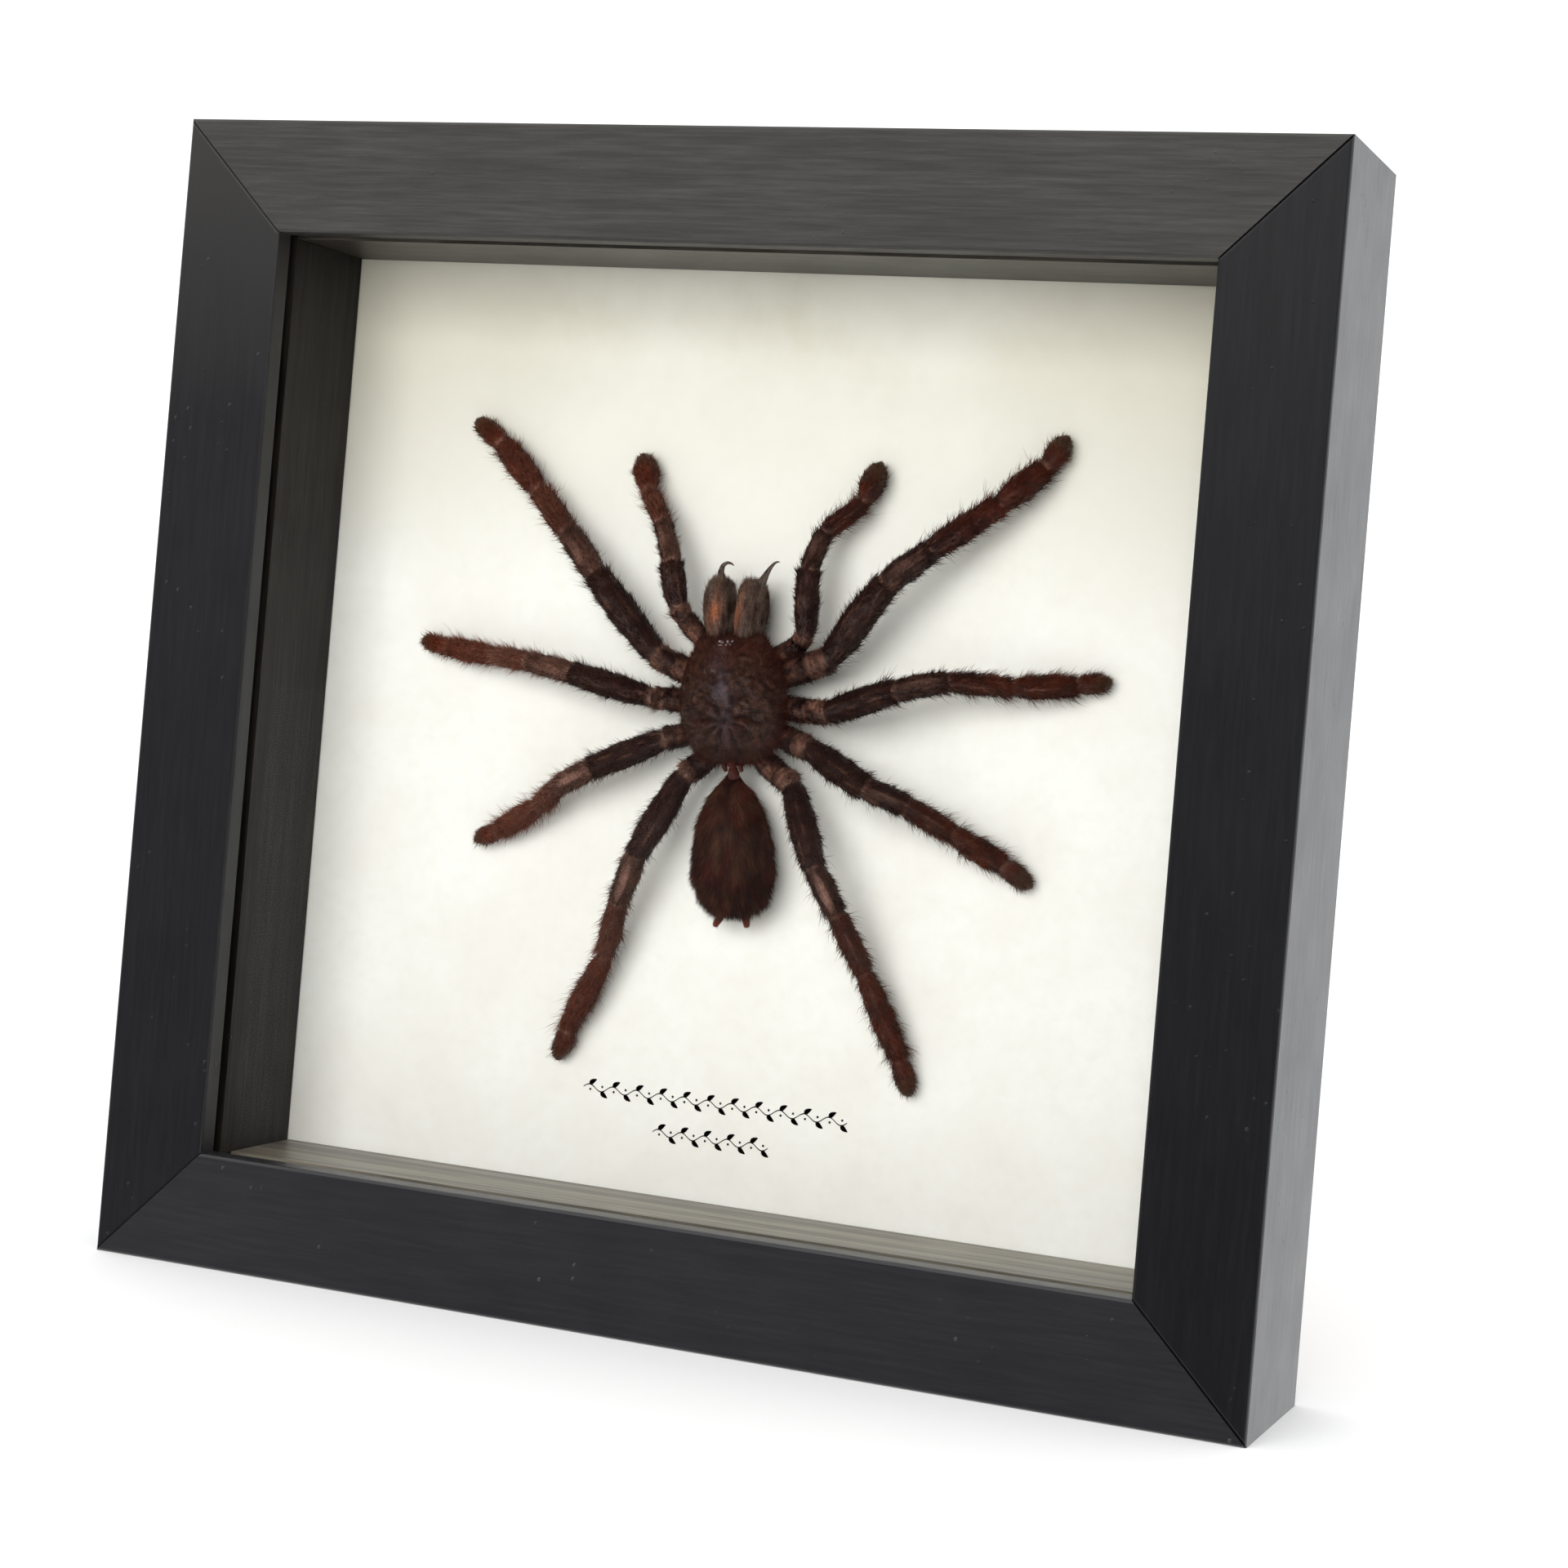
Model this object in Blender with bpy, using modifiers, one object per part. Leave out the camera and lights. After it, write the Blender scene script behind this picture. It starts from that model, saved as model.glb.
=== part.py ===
"""Framed tarantula specimen: a dried spider on a card in a black wooden shadow-box frame.

Metres, +Z up. The frame stands on its bottom edge with its glass towards -Y, and the
origin is at the middle of its footprint. The specimen is laid out in its own frame on the
card: X to the right, Y towards its head, Z out of the card towards the glass.
"""
import math

import bmesh
import bpy
from mathutils import Matrix, Vector

MM = 0.001

# Driving dimensions of the frame
FRAME_WIDTH = 0.200
FRAME_HEIGHT = 0.194
FRAME_DEPTH = 0.035
MOULDING_WIDTH = 0.019
LIP_THICKNESS = 0.004
RABBET_WIDTH = 0.005
FRONT_EDGE_RADIUS = 0.0005
BACK_EDGE_RADIUS = 0.0014
MITRE_CLEARANCE = 0.00002
GAP = 0.0003
RABBET_PLAY = 0.0005

# The stack behind the lip, front to back
GLASS_THICKNESS = 0.002
CARD_DEPTH = 0.029
CARD_THICKNESS = 0.0006
BOARD_THICKNESS = 0.002
SPACER_THICKNESS = 0.0048
SPACER_DROP = 0.0008
LOW_SPACER_SETBACK = 0.003

# What holds the board in, and what the frame hangs on
POINTS_PER_RAIL = 2
POINT_SPACING = 0.090
POINT_SIZE = (0.008, 0.0005, 0.010)
POINT_BITE = 0.004
HANGER_LENGTH = 0.044
HANGER_WIDTH = 0.009
HANGER_THICKNESS = 0.0007
HANGER_RISE = 0.0011
HANGER_TEETH = 10
TOOTH_HEIGHT = 0.0014
HANGER_EAR = 0.009
HANGER_DROP = 0.030
RIVET_RADIUS = 0.0010
RIVET_HEAD_RADIUS = 0.0022
RIVET_HEAD_HEIGHT = 0.0007
RIVET_LENGTH = 0.0020

# The specimen
SPECIMEN_HEIGHT = 0.103
CARAPACE_CENTRE = (-0.2, 0.0)
CARAPACE_HALF = (9.3, 10.5)
CARAPACE_TURN = 3.0
CARAPACE_SQUARENESS = 2.7
DOME_FULLNESS = 0.8
RIM_HEIGHT = 7.8
DOME_RISE = 4.7
STERNUM_HALF = (3.6, 8.2)
STERNUM_TOP = 7.4
STERNUM_BOTTOM = 1.2
ABDOMEN_CENTRE = (1.5, -23.2, 6.0)
ABDOMEN_HALF = (6.9, 12.0, 5.5)
ABDOMEN_TURN = 6.0
ABDOMEN_SLIMMING = 0.07
CHELICERA_HALF = (2.7, 4.3, 3.3)
FANG_RADIUS = 0.75
SPINNERET_RADIUS = 0.45
SPINNERET_LENGTH = 2.4
FANG_TAPER = 0.8
TIP_SHARE = 0.6

# How far along a segment its near end, middle and far end are measured
NEAR, MIDWAY, FAR = 0.15, 0.5, 0.9

# Segment radii, in millimetres: near end, middle, far end
LEG_RADII = (
    ("coxa", 1.3, 1.9, 2.0),
    ("femur", 1.9, 2.0, 1.9),
    ("patella", 1.8, 1.9, 1.8),
    ("tibia", 1.6, 1.8, 1.6),
    ("metatarsus", 1.6, 1.8, 1.6),
    ("tarsus", 1.5, 1.6, 1.1),
)
PALP_RADII = (
    ("coxa", 1.2, 1.6, 1.7),
    ("femur", 1.6, 1.7, 1.6),
    ("patella", 1.5, 1.6, 1.5),
    ("tibia", 1.5, 1.6, 1.4),
    ("tarsus", 1.5, 1.6, 1.1),
)

# Each limb in millimetres: its joints from the sternum to the tip, as (x, y, height). The
# coxa has one point between its ends, where it comes out from under the carapace.
LEGS = {
    "leg_1_left": ((-4.4, 3.0, 4.8), (-8.8, 3.6, 5.2), (-14.5, 6.0, 7.0), (-25.8, 18.7, 9.0),
                   (-32.5, 25.5, 7.0), (-39.8, 32.3, 4.5), (-48.2, 40.1, 3.0), (-54.8, 44.5, 1.6)),
    "leg_2_left": ((-4.8, -0.8, 4.8), (-9.5, -1.1, 5.2), (-14.5, -1.1, 7.0), (-28.8, 1.9, 9.0),
                   (-37.7, 3.2, 7.0), (-45.1, 3.7, 5.0), (-55.1, 4.5, 3.0), (-61.8, 5.4, 1.6)),
    "leg_3_left": ((-4.6, -4.4, 4.8), (-9.4, -7.0, 5.2), (-11.8, -7.7, 6.5), (-23.8, -13.6, 8.5),
                   (-30.4, -17.2, 7.0), (-34.4, -20.9, 5.0), (-42.7, -26.0, 3.0), (-48.2, -28.3, 1.6)),
    "leg_4_left": ((-2.8, -7.6, 4.8), (-5.4, -11.4, 5.2), (-7.5, -13.2, 7.0), (-14.3, -27.3, 9.0),
                   (-17.6, -35.5, 7.0), (-20.1, -44.9, 5.0), (-26.8, -58.2, 3.0), (-29.0, -64.1, 1.6)),
    "leg_1_right": ((4.4, 3.2, 4.8), (9.2, 4.9, 5.2), (16.7, 7.6, 8.0), (26.4, 20.5, 11.0),
                    (32.8, 26.3, 9.0), (42.8, 34.6, 6.0), (49.3, 41.0, 3.0), (52.4, 47.0, 1.6)),
    "leg_2_right": ((4.8, -0.8, 4.8), (9.4, -0.9, 5.2), (17.2, -1.1, 8.0), (29.6, 3.4, 12.0),
                    (37.7, 5.7, 9.0), (47.5, 5.5, 6.0), (57.3, 6.7, 3.0), (63.1, 8.0, 1.6)),
    "leg_3_right": ((4.6, -4.2, 4.8), (9.7, -5.9, 5.2), (14.3, -7.1, 7.5), (25.8, -12.5, 11.0),
                    (32.1, -14.7, 9.0), (39.3, -18.6, 6.0), (47.4, -22.9, 3.0), (52.6, -26.3, 1.6)),
    "leg_4_right": ((3.2, -7.6, 4.8), (7.3, -11.2, 5.2), (11.9, -13.1, 7.5), (18.1, -25.9, 11.0),
                    (21.9, -33.1, 9.0), (26.5, -42.4, 6.0), (32.7, -56.0, 3.0), (34.7, -62.4, 1.6)),
}
PALPS = {
    "palp_left": ((-4.0, 6.4, 4.6), (-8.7, 10.8, 5.4), (-11.4, 14.3, 7.0), (-12.7, 21.7, 8.0),
                  (-15.6, 28.2, 6.0), (-19.6, 33.4, 4.0), (-22.3, 40.3, 2.0)),
    "palp_right": ((4.0, 6.4, 4.6), (9.7, 9.1, 5.4), (11.9, 11.2, 7.0), (11.8, 21.9, 8.0),
                   (13.2, 28.3, 6.0), (19.0, 33.7, 4.0), (20.9, 41.0, 2.0)),
}
CHELICERAE = {"chelicera_left": (-3.5, 15.2, 6.6), "chelicera_right": (2.3, 15.2, 6.6)}
FANGS = {
    "fang_left": ((-3.2, 19.9, 7.0), (-3.6, 21.2, 7.2), (-3.3, 22.3, 7.3), (-2.4, 22.7, 7.3),
                  (-1.6, 22.2, 7.2)),
    "fang_right": ((3.7, 19.9, 7.0), (4.3, 21.3, 7.2), (5.0, 22.5, 7.3), (5.8, 23.1, 7.3),
                   (6.5, 22.8, 7.2)),
}
SPINNERETS = {"spinneret_left": (0.5, -35.1, 4.6), "spinneret_right": (5.0, -34.7, 4.6)}

# Finishes: colour, roughness, metallic
FINISHES = {
    "black_paint": ((0.022, 0.022, 0.024), 0.38, 0.0),
    "clear_glass": ((0.92, 0.95, 0.94), 0.03, 0.0),
    "card": ((0.86, 0.85, 0.79), 0.85, 0.0),
    "brown_board": ((0.30, 0.20, 0.12), 0.80, 0.0),
    "zinc_steel": ((0.62, 0.62, 0.60), 0.35, 1.0),
    "dark_cuticle": ((0.050, 0.018, 0.013), 0.60, 0.0),
    "brown_cuticle": ((0.085, 0.030, 0.018), 0.65, 0.0),
    "fang_horn": ((0.030, 0.028, 0.030), 0.25, 0.0),
}


def clear_scene():
    for item in list(bpy.data.objects):
        bpy.data.objects.remove(item, do_unlink=True)


def new_collection(name):
    collection = bpy.data.collections.new(name)
    bpy.context.scene.collection.children.link(collection)
    return collection


def make_finish(name):
    """A Principled material from its row in FINISHES."""
    colour, roughness, metallic = FINISHES[name]
    finish = bpy.data.materials.new(name)
    finish.use_nodes = True
    shader = finish.node_tree.nodes["Principled BSDF"]
    shader.inputs["Base Color"].default_value = (*colour, 1.0)
    shader.inputs["Roughness"].default_value = roughness
    shader.inputs["Metallic"].default_value = metallic
    return finish


def add_part(name, data, finish, location, rotation=(0.0, 0.0, 0.0), parent=None):
    """An object in the part's collection with its own copy of a finish."""
    part = bpy.data.objects.new(name, data)
    PARTS.objects.link(part)
    data.materials.append(make_finish(finish))
    part.location = location
    part.rotation_euler = rotation
    part.parent = parent
    return part


def mesh_from(bm, name):
    bmesh.ops.recalc_face_normals(bm, faces=bm.faces[:])
    mesh = bpy.data.meshes.new(name)
    bm.to_mesh(mesh)
    bm.free()
    return mesh


def smooth(part, angle=35.0):
    part.data.shade_smooth()
    part.data.set_sharp_from_angle(angle=math.radians(angle))


def box_mesh(name, size):
    """A box centred on its object's origin."""
    bm = bmesh.new()
    bmesh.ops.create_cube(bm, size=1.0)
    bmesh.ops.scale(bm, vec=size, verts=bm.verts[:])
    return mesh_from(bm, name)


def depth_y(depth):
    """World Y of a plane so far behind the frame's front face."""
    return depth - FRAME_DEPTH / 2


def cut(part, cutter):
    boolean = part.modifiers.new("cut_" + cutter.name, "BOOLEAN")
    boolean.operation = "DIFFERENCE"
    boolean.object = cutter


def add_cutter(name, mesh, location, rotation=(0.0, 0.0, 0.0)):
    cutter = bpy.data.objects.new(name, mesh)
    CUTTERS.objects.link(cutter)
    cutter.location = location
    cutter.rotation_euler = rotation
    cutter.hide_render = True
    cutter.display_type = "WIRE"
    return cutter


# Frame -----------------------------------------------------------------------------------

def rail_profile():
    """Outline of the moulding as (inward from the outer face, depth), round at the back."""
    points = [(0.0, 0.0), (MOULDING_WIDTH, 0.0), (MOULDING_WIDTH, LIP_THICKNESS)]
    wall = MOULDING_WIDTH - RABBET_WIDTH
    points += [(wall, LIP_THICKNESS), (wall, FRAME_DEPTH)]
    steps = 4
    for step in range(steps + 1):
        turn = math.radians(90.0) * step / steps
        inward = BACK_EDGE_RADIUS * (1.0 - math.sin(turn))
        depth = FRAME_DEPTH - BACK_EDGE_RADIUS * (1.0 - math.cos(turn))
        points.append((inward, depth))
    return points


def rail_mesh(name, length):
    """A mitred length of moulding: outer face up, front towards -Y, along X."""
    bm = bmesh.new()
    weights = bm.edges.layers.float.new("bevel_weight_edge")
    half = length / 2 - MITRE_CLEARANCE
    ring = [bm.verts.new((half - inward, depth, -inward)) for inward, depth in rail_profile()]
    end = bm.faces.new(ring)
    swept = bmesh.ops.extrude_face_region(bm, geom=[end], use_keep_orig=True)
    for vert in swept["geom"]:
        if isinstance(vert, bmesh.types.BMVert):
            vert.co.x = -vert.co.x
    for edge in bm.edges:
        along = abs(edge.verts[0].co.x - edge.verts[1].co.x) > MOULDING_WIDTH
        in_front = edge.verts[0].co.y < LIP_THICKNESS / 2
        edge[weights] = 1.0 if along and in_front else 0.0
    return mesh_from(bm, name)


def make_rails():
    """Four mitred rails, each with slots behind for its flat points."""
    middle = FRAME_HEIGHT / 2
    places = (
        ("rail_top", FRAME_WIDTH, (0.0, FRAME_HEIGHT), 0.0),
        ("stile_right", FRAME_HEIGHT, (FRAME_WIDTH / 2, middle), 90.0),
        ("rail_bottom", FRAME_WIDTH, (0.0, 0.0), 180.0),
        ("stile_left", FRAME_HEIGHT, (-FRAME_WIDTH / 2, middle), -90.0),
    )
    number = 0
    for name, length, (x, z), turn in places:
        place = (x, -FRAME_DEPTH / 2, z)
        rotation = (0.0, math.radians(turn), 0.0)
        rail = add_part(name, rail_mesh(name, length), "black_paint", place, rotation)
        round_off = rail.modifiers.new("eased_front_edges", "BEVEL")
        round_off.limit_method = "WEIGHT"
        round_off.width = FRONT_EDGE_RADIUS
        round_off.segments = 3
        for index in range(POINTS_PER_RAIL):
            number += 1
            along = (index - (POINTS_PER_RAIL - 1) / 2) * POINT_SPACING
            make_flat_point(number, rail, Vector(place), Matrix.Rotation(rotation[1], 3, "Y"), along)


def make_flat_point(number, rail, place, turn, along):
    """A flat steel point driven into the rabbet wall behind the backing board."""
    width, thickness, length = POINT_SIZE
    back = CARD_DEPTH + CARD_THICKNESS + GAP + BOARD_THICKNESS + GAP
    wall = MOULDING_WIDTH - RABBET_WIDTH
    depth = back + thickness / 2
    centre = place + turn @ Vector((along, depth, -(wall - POINT_BITE + length / 2)))
    rotation = turn.to_euler()
    name = f"flat_point_{number}"
    add_part(name, box_mesh(name, POINT_SIZE), "zinc_steel", centre, rotation)
    slot_name = f"slot_{number}"
    slot_depth = 2 * (POINT_BITE + GAP)
    slot_size = (width + 2 * GAP, thickness + 2 * GAP, slot_depth)
    slot_place = place + turn @ Vector((along, depth, -wall))
    cut(rail, add_cutter(slot_name, box_mesh(slot_name, slot_size), slot_place, rotation))


def make_stack():
    """Glass, four spacer strips, card and backing board, front to back in the rabbet."""
    wall = MOULDING_WIDTH - RABBET_WIDTH + RABBET_PLAY
    pane_size = (FRAME_WIDTH - 2 * wall, FRAME_HEIGHT - 2 * wall)
    middle = FRAME_HEIGHT / 2
    glass_depth = LIP_THICKNESS + GAP
    layers = (
        ("glass_pane", "clear_glass", glass_depth, GLASS_THICKNESS),
        ("mount_card", "card", CARD_DEPTH, CARD_THICKNESS),
        ("backing_board", "brown_board", CARD_DEPTH + CARD_THICKNESS + GAP, BOARD_THICKNESS),
    )
    for name, finish, depth, thickness in layers:
        size = (pane_size[0], thickness, pane_size[1])
        place = (0.0, depth_y(depth + thickness / 2), middle)
        add_part(name, box_mesh(name, size), finish, place)
    make_spacers(pane_size, glass_depth + GLASS_THICKNESS + GAP)


def make_spacers(pane_size, front):
    """Strips that hold the card off the glass, the lowest one set back from it."""
    deep = CARD_DEPTH - GAP - front
    y = depth_y(front + deep / 2)
    middle = FRAME_HEIGHT / 2
    side_x = pane_size[0] / 2 - SPACER_THICKNESS / 2
    side = (SPACER_THICKNESS, deep, pane_size[1])
    across = pane_size[0] - 2 * SPACER_THICKNESS - 2 * GAP
    low_thickness = SPACER_THICKNESS - SPACER_DROP
    top_z = middle + pane_size[1] / 2 - SPACER_THICKNESS / 2
    low_z = middle - pane_size[1] / 2 + low_thickness / 2
    low_y = y + LOW_SPACER_SETBACK / 2
    low_size = (across, deep - LOW_SPACER_SETBACK, low_thickness)
    strips = (
        ("spacer_left", side, (-side_x, y, middle)),
        ("spacer_right", side, (side_x, y, middle)),
        ("spacer_top", (across, deep, SPACER_THICKNESS), (0.0, y, top_z)),
        ("spacer_bottom", low_size, (0.0, low_y, low_z)),
    )
    for name, size, place in strips:
        add_part(name, box_mesh(name, size), "black_paint", place)


def make_hanger():
    """Sawtooth hanger riveted to the backing board, its middle sprung clear for a nail."""
    board_back = CARD_DEPTH + CARD_THICKNESS + GAP + BOARD_THICKNESS
    place = Vector((0.0, depth_y(board_back + GAP), FRAME_HEIGHT - HANGER_DROP))
    hanger = add_part("hanger_plate", hanger_mesh(), "zinc_steel", place)
    wall = hanger.modifiers.new("sheet_metal", "SOLIDIFY")
    wall.thickness = HANGER_THICKNESS
    wall.offset = 1.0
    board = bpy.data.objects["backing_board"]
    for side, label in ((-1, "left"), (1, "right")):
        x = side * (HANGER_LENGTH - HANGER_EAR) / 2
        rivet_place = place + Vector((x, HANGER_THICKNESS + GAP, 0.0))
        make_rivet(f"hanger_rivet_{label}", rivet_place)
        hole_name = f"rivet_hole_{label}"
        hole = rod_mesh(hole_name, RIVET_RADIUS + GAP, 2 * (RIVET_LENGTH + GAP))
        cutter = add_cutter(hole_name, hole, rivet_place, (math.radians(90.0), 0.0, 0.0))
        cut(hanger, cutter)
        cut(board, cutter)


def hanger_mesh():
    """The plate as one row of faces: flat ears, a raised middle, teeth along its lower edge."""
    bm = bmesh.new()
    flat = HANGER_LENGTH / 2 - HANGER_EAR
    pitch = 2 * flat / (2 * HANGER_TEETH)
    columns = [(-HANGER_LENGTH / 2, 0.0, 0.0), (-flat, 0.0, 0.0)]
    for step in range(1, 2 * HANGER_TEETH):
        rise = HANGER_RISE if 2 <= step <= 2 * HANGER_TEETH - 2 else HANGER_RISE / 2
        tooth = TOOTH_HEIGHT if step % 2 else 0.0
        columns.append((-flat + step * pitch, rise, tooth))
    columns += [(flat, 0.0, 0.0), (HANGER_LENGTH / 2, 0.0, 0.0)]
    low = -HANGER_WIDTH / 2
    pairs = []
    for x, y, tooth in columns:
        pairs.append((bm.verts.new((x, y, low + tooth)), bm.verts.new((x, y, -low))))
    for (low_a, top_a), (low_b, top_b) in zip(pairs, pairs[1:]):
        bm.faces.new((low_a, top_a, top_b, low_b))
    mesh = bpy.data.meshes.new("hanger_plate")
    bm.to_mesh(mesh)
    bm.free()
    return mesh


def rod_mesh(name, radius, length):
    """A cylinder along its object's Z, centred on its origin."""
    bm = bmesh.new()
    bmesh.ops.create_cone(
        bm, cap_ends=True, segments=16, radius1=radius, radius2=radius, depth=length)
    return mesh_from(bm, name)


def make_rivet(name, place):
    """A turned rivet: shank towards the board, domed head behind the plate."""
    profile = [(0.0, RIVET_HEAD_HEIGHT)]
    steps = 4
    for step in range(1, steps + 1):
        turn = math.radians(90.0) * step / steps
        profile.append((RIVET_HEAD_RADIUS * math.sin(turn), RIVET_HEAD_HEIGHT * math.cos(turn)))
    profile += [(RIVET_RADIUS, 0.0), (RIVET_RADIUS, -RIVET_LENGTH), (0.0, -RIVET_LENGTH)]
    bm = bmesh.new()
    verts = [bm.verts.new((radius, 0.0, height)) for radius, height in profile]
    for first, second in zip(verts, verts[1:]):
        bm.edges.new((first, second))
    mesh = bpy.data.meshes.new(name)
    bm.to_mesh(mesh)
    bm.free()
    rivet = add_part(name, mesh, "zinc_steel", place, (math.radians(-90.0), 0.0, 0.0))
    turned = rivet.modifiers.new("turned", "SCREW")
    turned.axis = "Z"
    turned.steps = 16
    turned.render_steps = 16
    turned.use_merge_vertices = True
    turned.merge_threshold = 0.00001


# Specimen --------------------------------------------------------------------------------

def make_seat():
    """An empty on the card that carries the specimen: X right, Y to its head, Z to the glass."""
    seat = bpy.data.objects.new("specimen_seat", None)
    PARTS.objects.link(seat)
    seat.location = (0.0, depth_y(CARD_DEPTH), SPECIMEN_HEIGHT)
    seat.rotation_euler = (math.radians(90.0), 0.0, 0.0)
    return seat


def rounded_square(angle, power):
    """How far a superellipse of this power reaches at an angle, for half axes of 1."""
    reach = abs(math.cos(angle)) ** power + abs(math.sin(angle)) ** power
    return reach ** (-1.0 / power)


def make_cephalothorax(seat):
    """Domed carapace with a sharp rim, over a narrow sternum that the coxae sit beside."""
    bm = bmesh.new()
    bmesh.ops.create_uvsphere(bm, u_segments=28, v_segments=14, radius=1.0)
    for vert in bm.verts:
        angle = math.atan2(vert.co.y, vert.co.x)
        around = math.hypot(vert.co.x, vert.co.y)
        above = vert.co.z > -0.01
        half = CARAPACE_HALF if above else STERNUM_HALF
        reach = around * rounded_square(angle, CARAPACE_SQUARENESS if above else 2.0)
        if above:
            height = RIM_HEIGHT + DOME_RISE * max(vert.co.z, 0.0) ** DOME_FULLNESS
        else:
            height = STERNUM_TOP + (STERNUM_TOP - STERNUM_BOTTOM) * vert.co.z
        vert.co = Vector((reach * math.cos(angle) * half[0], reach * math.sin(angle) * half[1],
                          height)) * MM
    place = Vector((*CARAPACE_CENTRE, 0.0)) * MM
    turn = (0.0, 0.0, math.radians(CARAPACE_TURN))
    mesh = mesh_from(bm, "cephalothorax")
    smooth(add_part("cephalothorax", mesh, "dark_cuticle", place, turn, seat), 60.0)


def make_abdomen(seat):
    """Egg-shaped abdomen, slimmer towards the waist."""
    bm = bmesh.new()
    bmesh.ops.create_uvsphere(bm, u_segments=20, v_segments=12, radius=1.0)
    bmesh.ops.rotate(bm, cent=(0, 0, 0), matrix=Matrix.Rotation(math.radians(90.0), 3, "X"),
                     verts=bm.verts[:])
    for vert in bm.verts:
        slim = 1.0 - ABDOMEN_SLIMMING * vert.co.y
        vert.co = Vector((vert.co.x * ABDOMEN_HALF[0] * slim, vert.co.y * ABDOMEN_HALF[1],
                          vert.co.z * ABDOMEN_HALF[2] * min(slim, 1.0))) * MM
    place = Vector(ABDOMEN_CENTRE) * MM
    turn = (0.0, 0.0, math.radians(ABDOMEN_TURN))
    mesh = mesh_from(bm, "abdomen")
    smooth(add_part("abdomen", mesh, "brown_cuticle", place, turn, seat))


def make_chelicerae(seat):
    """Two blunt jaws side by side in front of the carapace."""
    for name, centre in CHELICERAE.items():
        bm = bmesh.new()
        bmesh.ops.create_uvsphere(bm, u_segments=14, v_segments=10, radius=1.0)
        bmesh.ops.rotate(bm, cent=(0, 0, 0), matrix=Matrix.Rotation(math.radians(90.0), 3, "X"),
                         verts=bm.verts[:])
        bmesh.ops.scale(bm, vec=Vector(CHELICERA_HALF) * MM, verts=bm.verts[:])
        turn = (0.0, 0.0, math.radians(CARAPACE_TURN))
        place = Vector(centre) * MM
        smooth(add_part(name, mesh_from(bm, name), "brown_cuticle", place, turn, seat))


def tube(name, points, radii, finish, seat):
    """A tube through points in millimetres, its object's origin at the first of them."""
    start = Vector(points[0])
    data = bpy.data.curves.new(name, "CURVE")
    data.dimensions = "3D"
    data.bevel_depth = MM
    data.bevel_resolution = 2
    data.use_fill_caps = True
    spline = data.splines.new("POLY")
    spline.points.add(len(points) - 1)
    for knot, point, radius in zip(spline.points, points, radii):
        knot.co = (*((Vector(point) - start) * MM), 1.0)
        knot.radius = radius
    add_part(name, data, finish, start * MM, parent=seat)


def limb_route(joints, radii):
    """Points and radii along a limb: each segment's near end, middle and far end."""
    joints = [Vector(joint) for joint in joints]
    route = [joints[0], joints[1], joints[2]]
    sizes = list(radii[0][1:])
    for (_, near, middle, far), start, end in zip(radii[1:], joints[2:], joints[3:]):
        route += [start.lerp(end, NEAR), start.lerp(end, MIDWAY), start.lerp(end, FAR)]
        sizes += [near, middle, far]
    route.append(joints[-1])
    sizes.append(radii[-1][3] * TIP_SHARE)
    return route, sizes


def make_limbs(seat):
    for limbs, radii in ((LEGS, LEG_RADII), (PALPS, PALP_RADII)):
        for name, joints in limbs.items():
            route, sizes = limb_route(joints, radii)
            tube(name, route, sizes, "dark_cuticle", seat)


def make_fangs(seat):
    for name, points in FANGS.items():
        last = len(points) - 1
        sizes = [FANG_RADIUS * (1.0 - FANG_TAPER * index / last) for index in range(last + 1)]
        tube(name, points, sizes, "fang_horn", seat)


def make_spinnerets(seat):
    for name, place in SPINNERETS.items():
        end = (place[0], place[1] - SPINNERET_LENGTH, place[2])
        tube(name, (place, end), (SPINNERET_RADIUS, SPINNERET_RADIUS * TIP_SHARE), "brown_cuticle", seat)


clear_scene()
PARTS = new_collection("framed_tarantula_specimen")
CUTTERS = new_collection("cutters")
make_rails()
make_stack()
make_hanger()
SEAT = make_seat()
make_cephalothorax(SEAT)
make_abdomen(SEAT)
make_chelicerae(SEAT)
make_limbs(SEAT)
make_fangs(SEAT)
make_spinnerets(SEAT)
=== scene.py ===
"""Finish of the framed tarantula specimen: painted wood, glass, card, and the dried
spider's hide and hair.

The frame's own solids are kept and get their finishes here. Every piece of the spider is
modelled again in fine detail, in the space that its plain solid holds, with its hair as
joined meshes. The spider is laid out in millimetres on the card: X to the right, Y towards
its head, and a height out of the card towards the glass.
"""
import math

import bmesh
import bpy
import numpy as np
from mathutils import Matrix, Vector, noise


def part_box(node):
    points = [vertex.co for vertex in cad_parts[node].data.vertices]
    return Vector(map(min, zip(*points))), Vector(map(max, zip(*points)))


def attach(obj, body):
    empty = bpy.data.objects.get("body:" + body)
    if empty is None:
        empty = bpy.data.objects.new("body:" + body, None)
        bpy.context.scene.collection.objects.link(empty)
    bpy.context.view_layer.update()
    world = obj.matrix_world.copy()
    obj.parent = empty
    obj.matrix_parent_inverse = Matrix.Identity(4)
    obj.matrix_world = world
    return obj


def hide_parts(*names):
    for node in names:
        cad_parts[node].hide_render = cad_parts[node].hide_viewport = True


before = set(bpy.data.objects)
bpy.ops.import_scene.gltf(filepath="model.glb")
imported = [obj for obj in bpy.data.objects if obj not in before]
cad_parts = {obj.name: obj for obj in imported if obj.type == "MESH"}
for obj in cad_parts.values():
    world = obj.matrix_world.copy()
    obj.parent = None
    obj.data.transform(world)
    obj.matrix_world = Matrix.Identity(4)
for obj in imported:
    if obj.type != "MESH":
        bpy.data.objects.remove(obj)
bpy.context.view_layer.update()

MM = 0.001
RIGHT_ANGLE = math.pi / 2
FULL_TURN = 2 * math.pi

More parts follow.
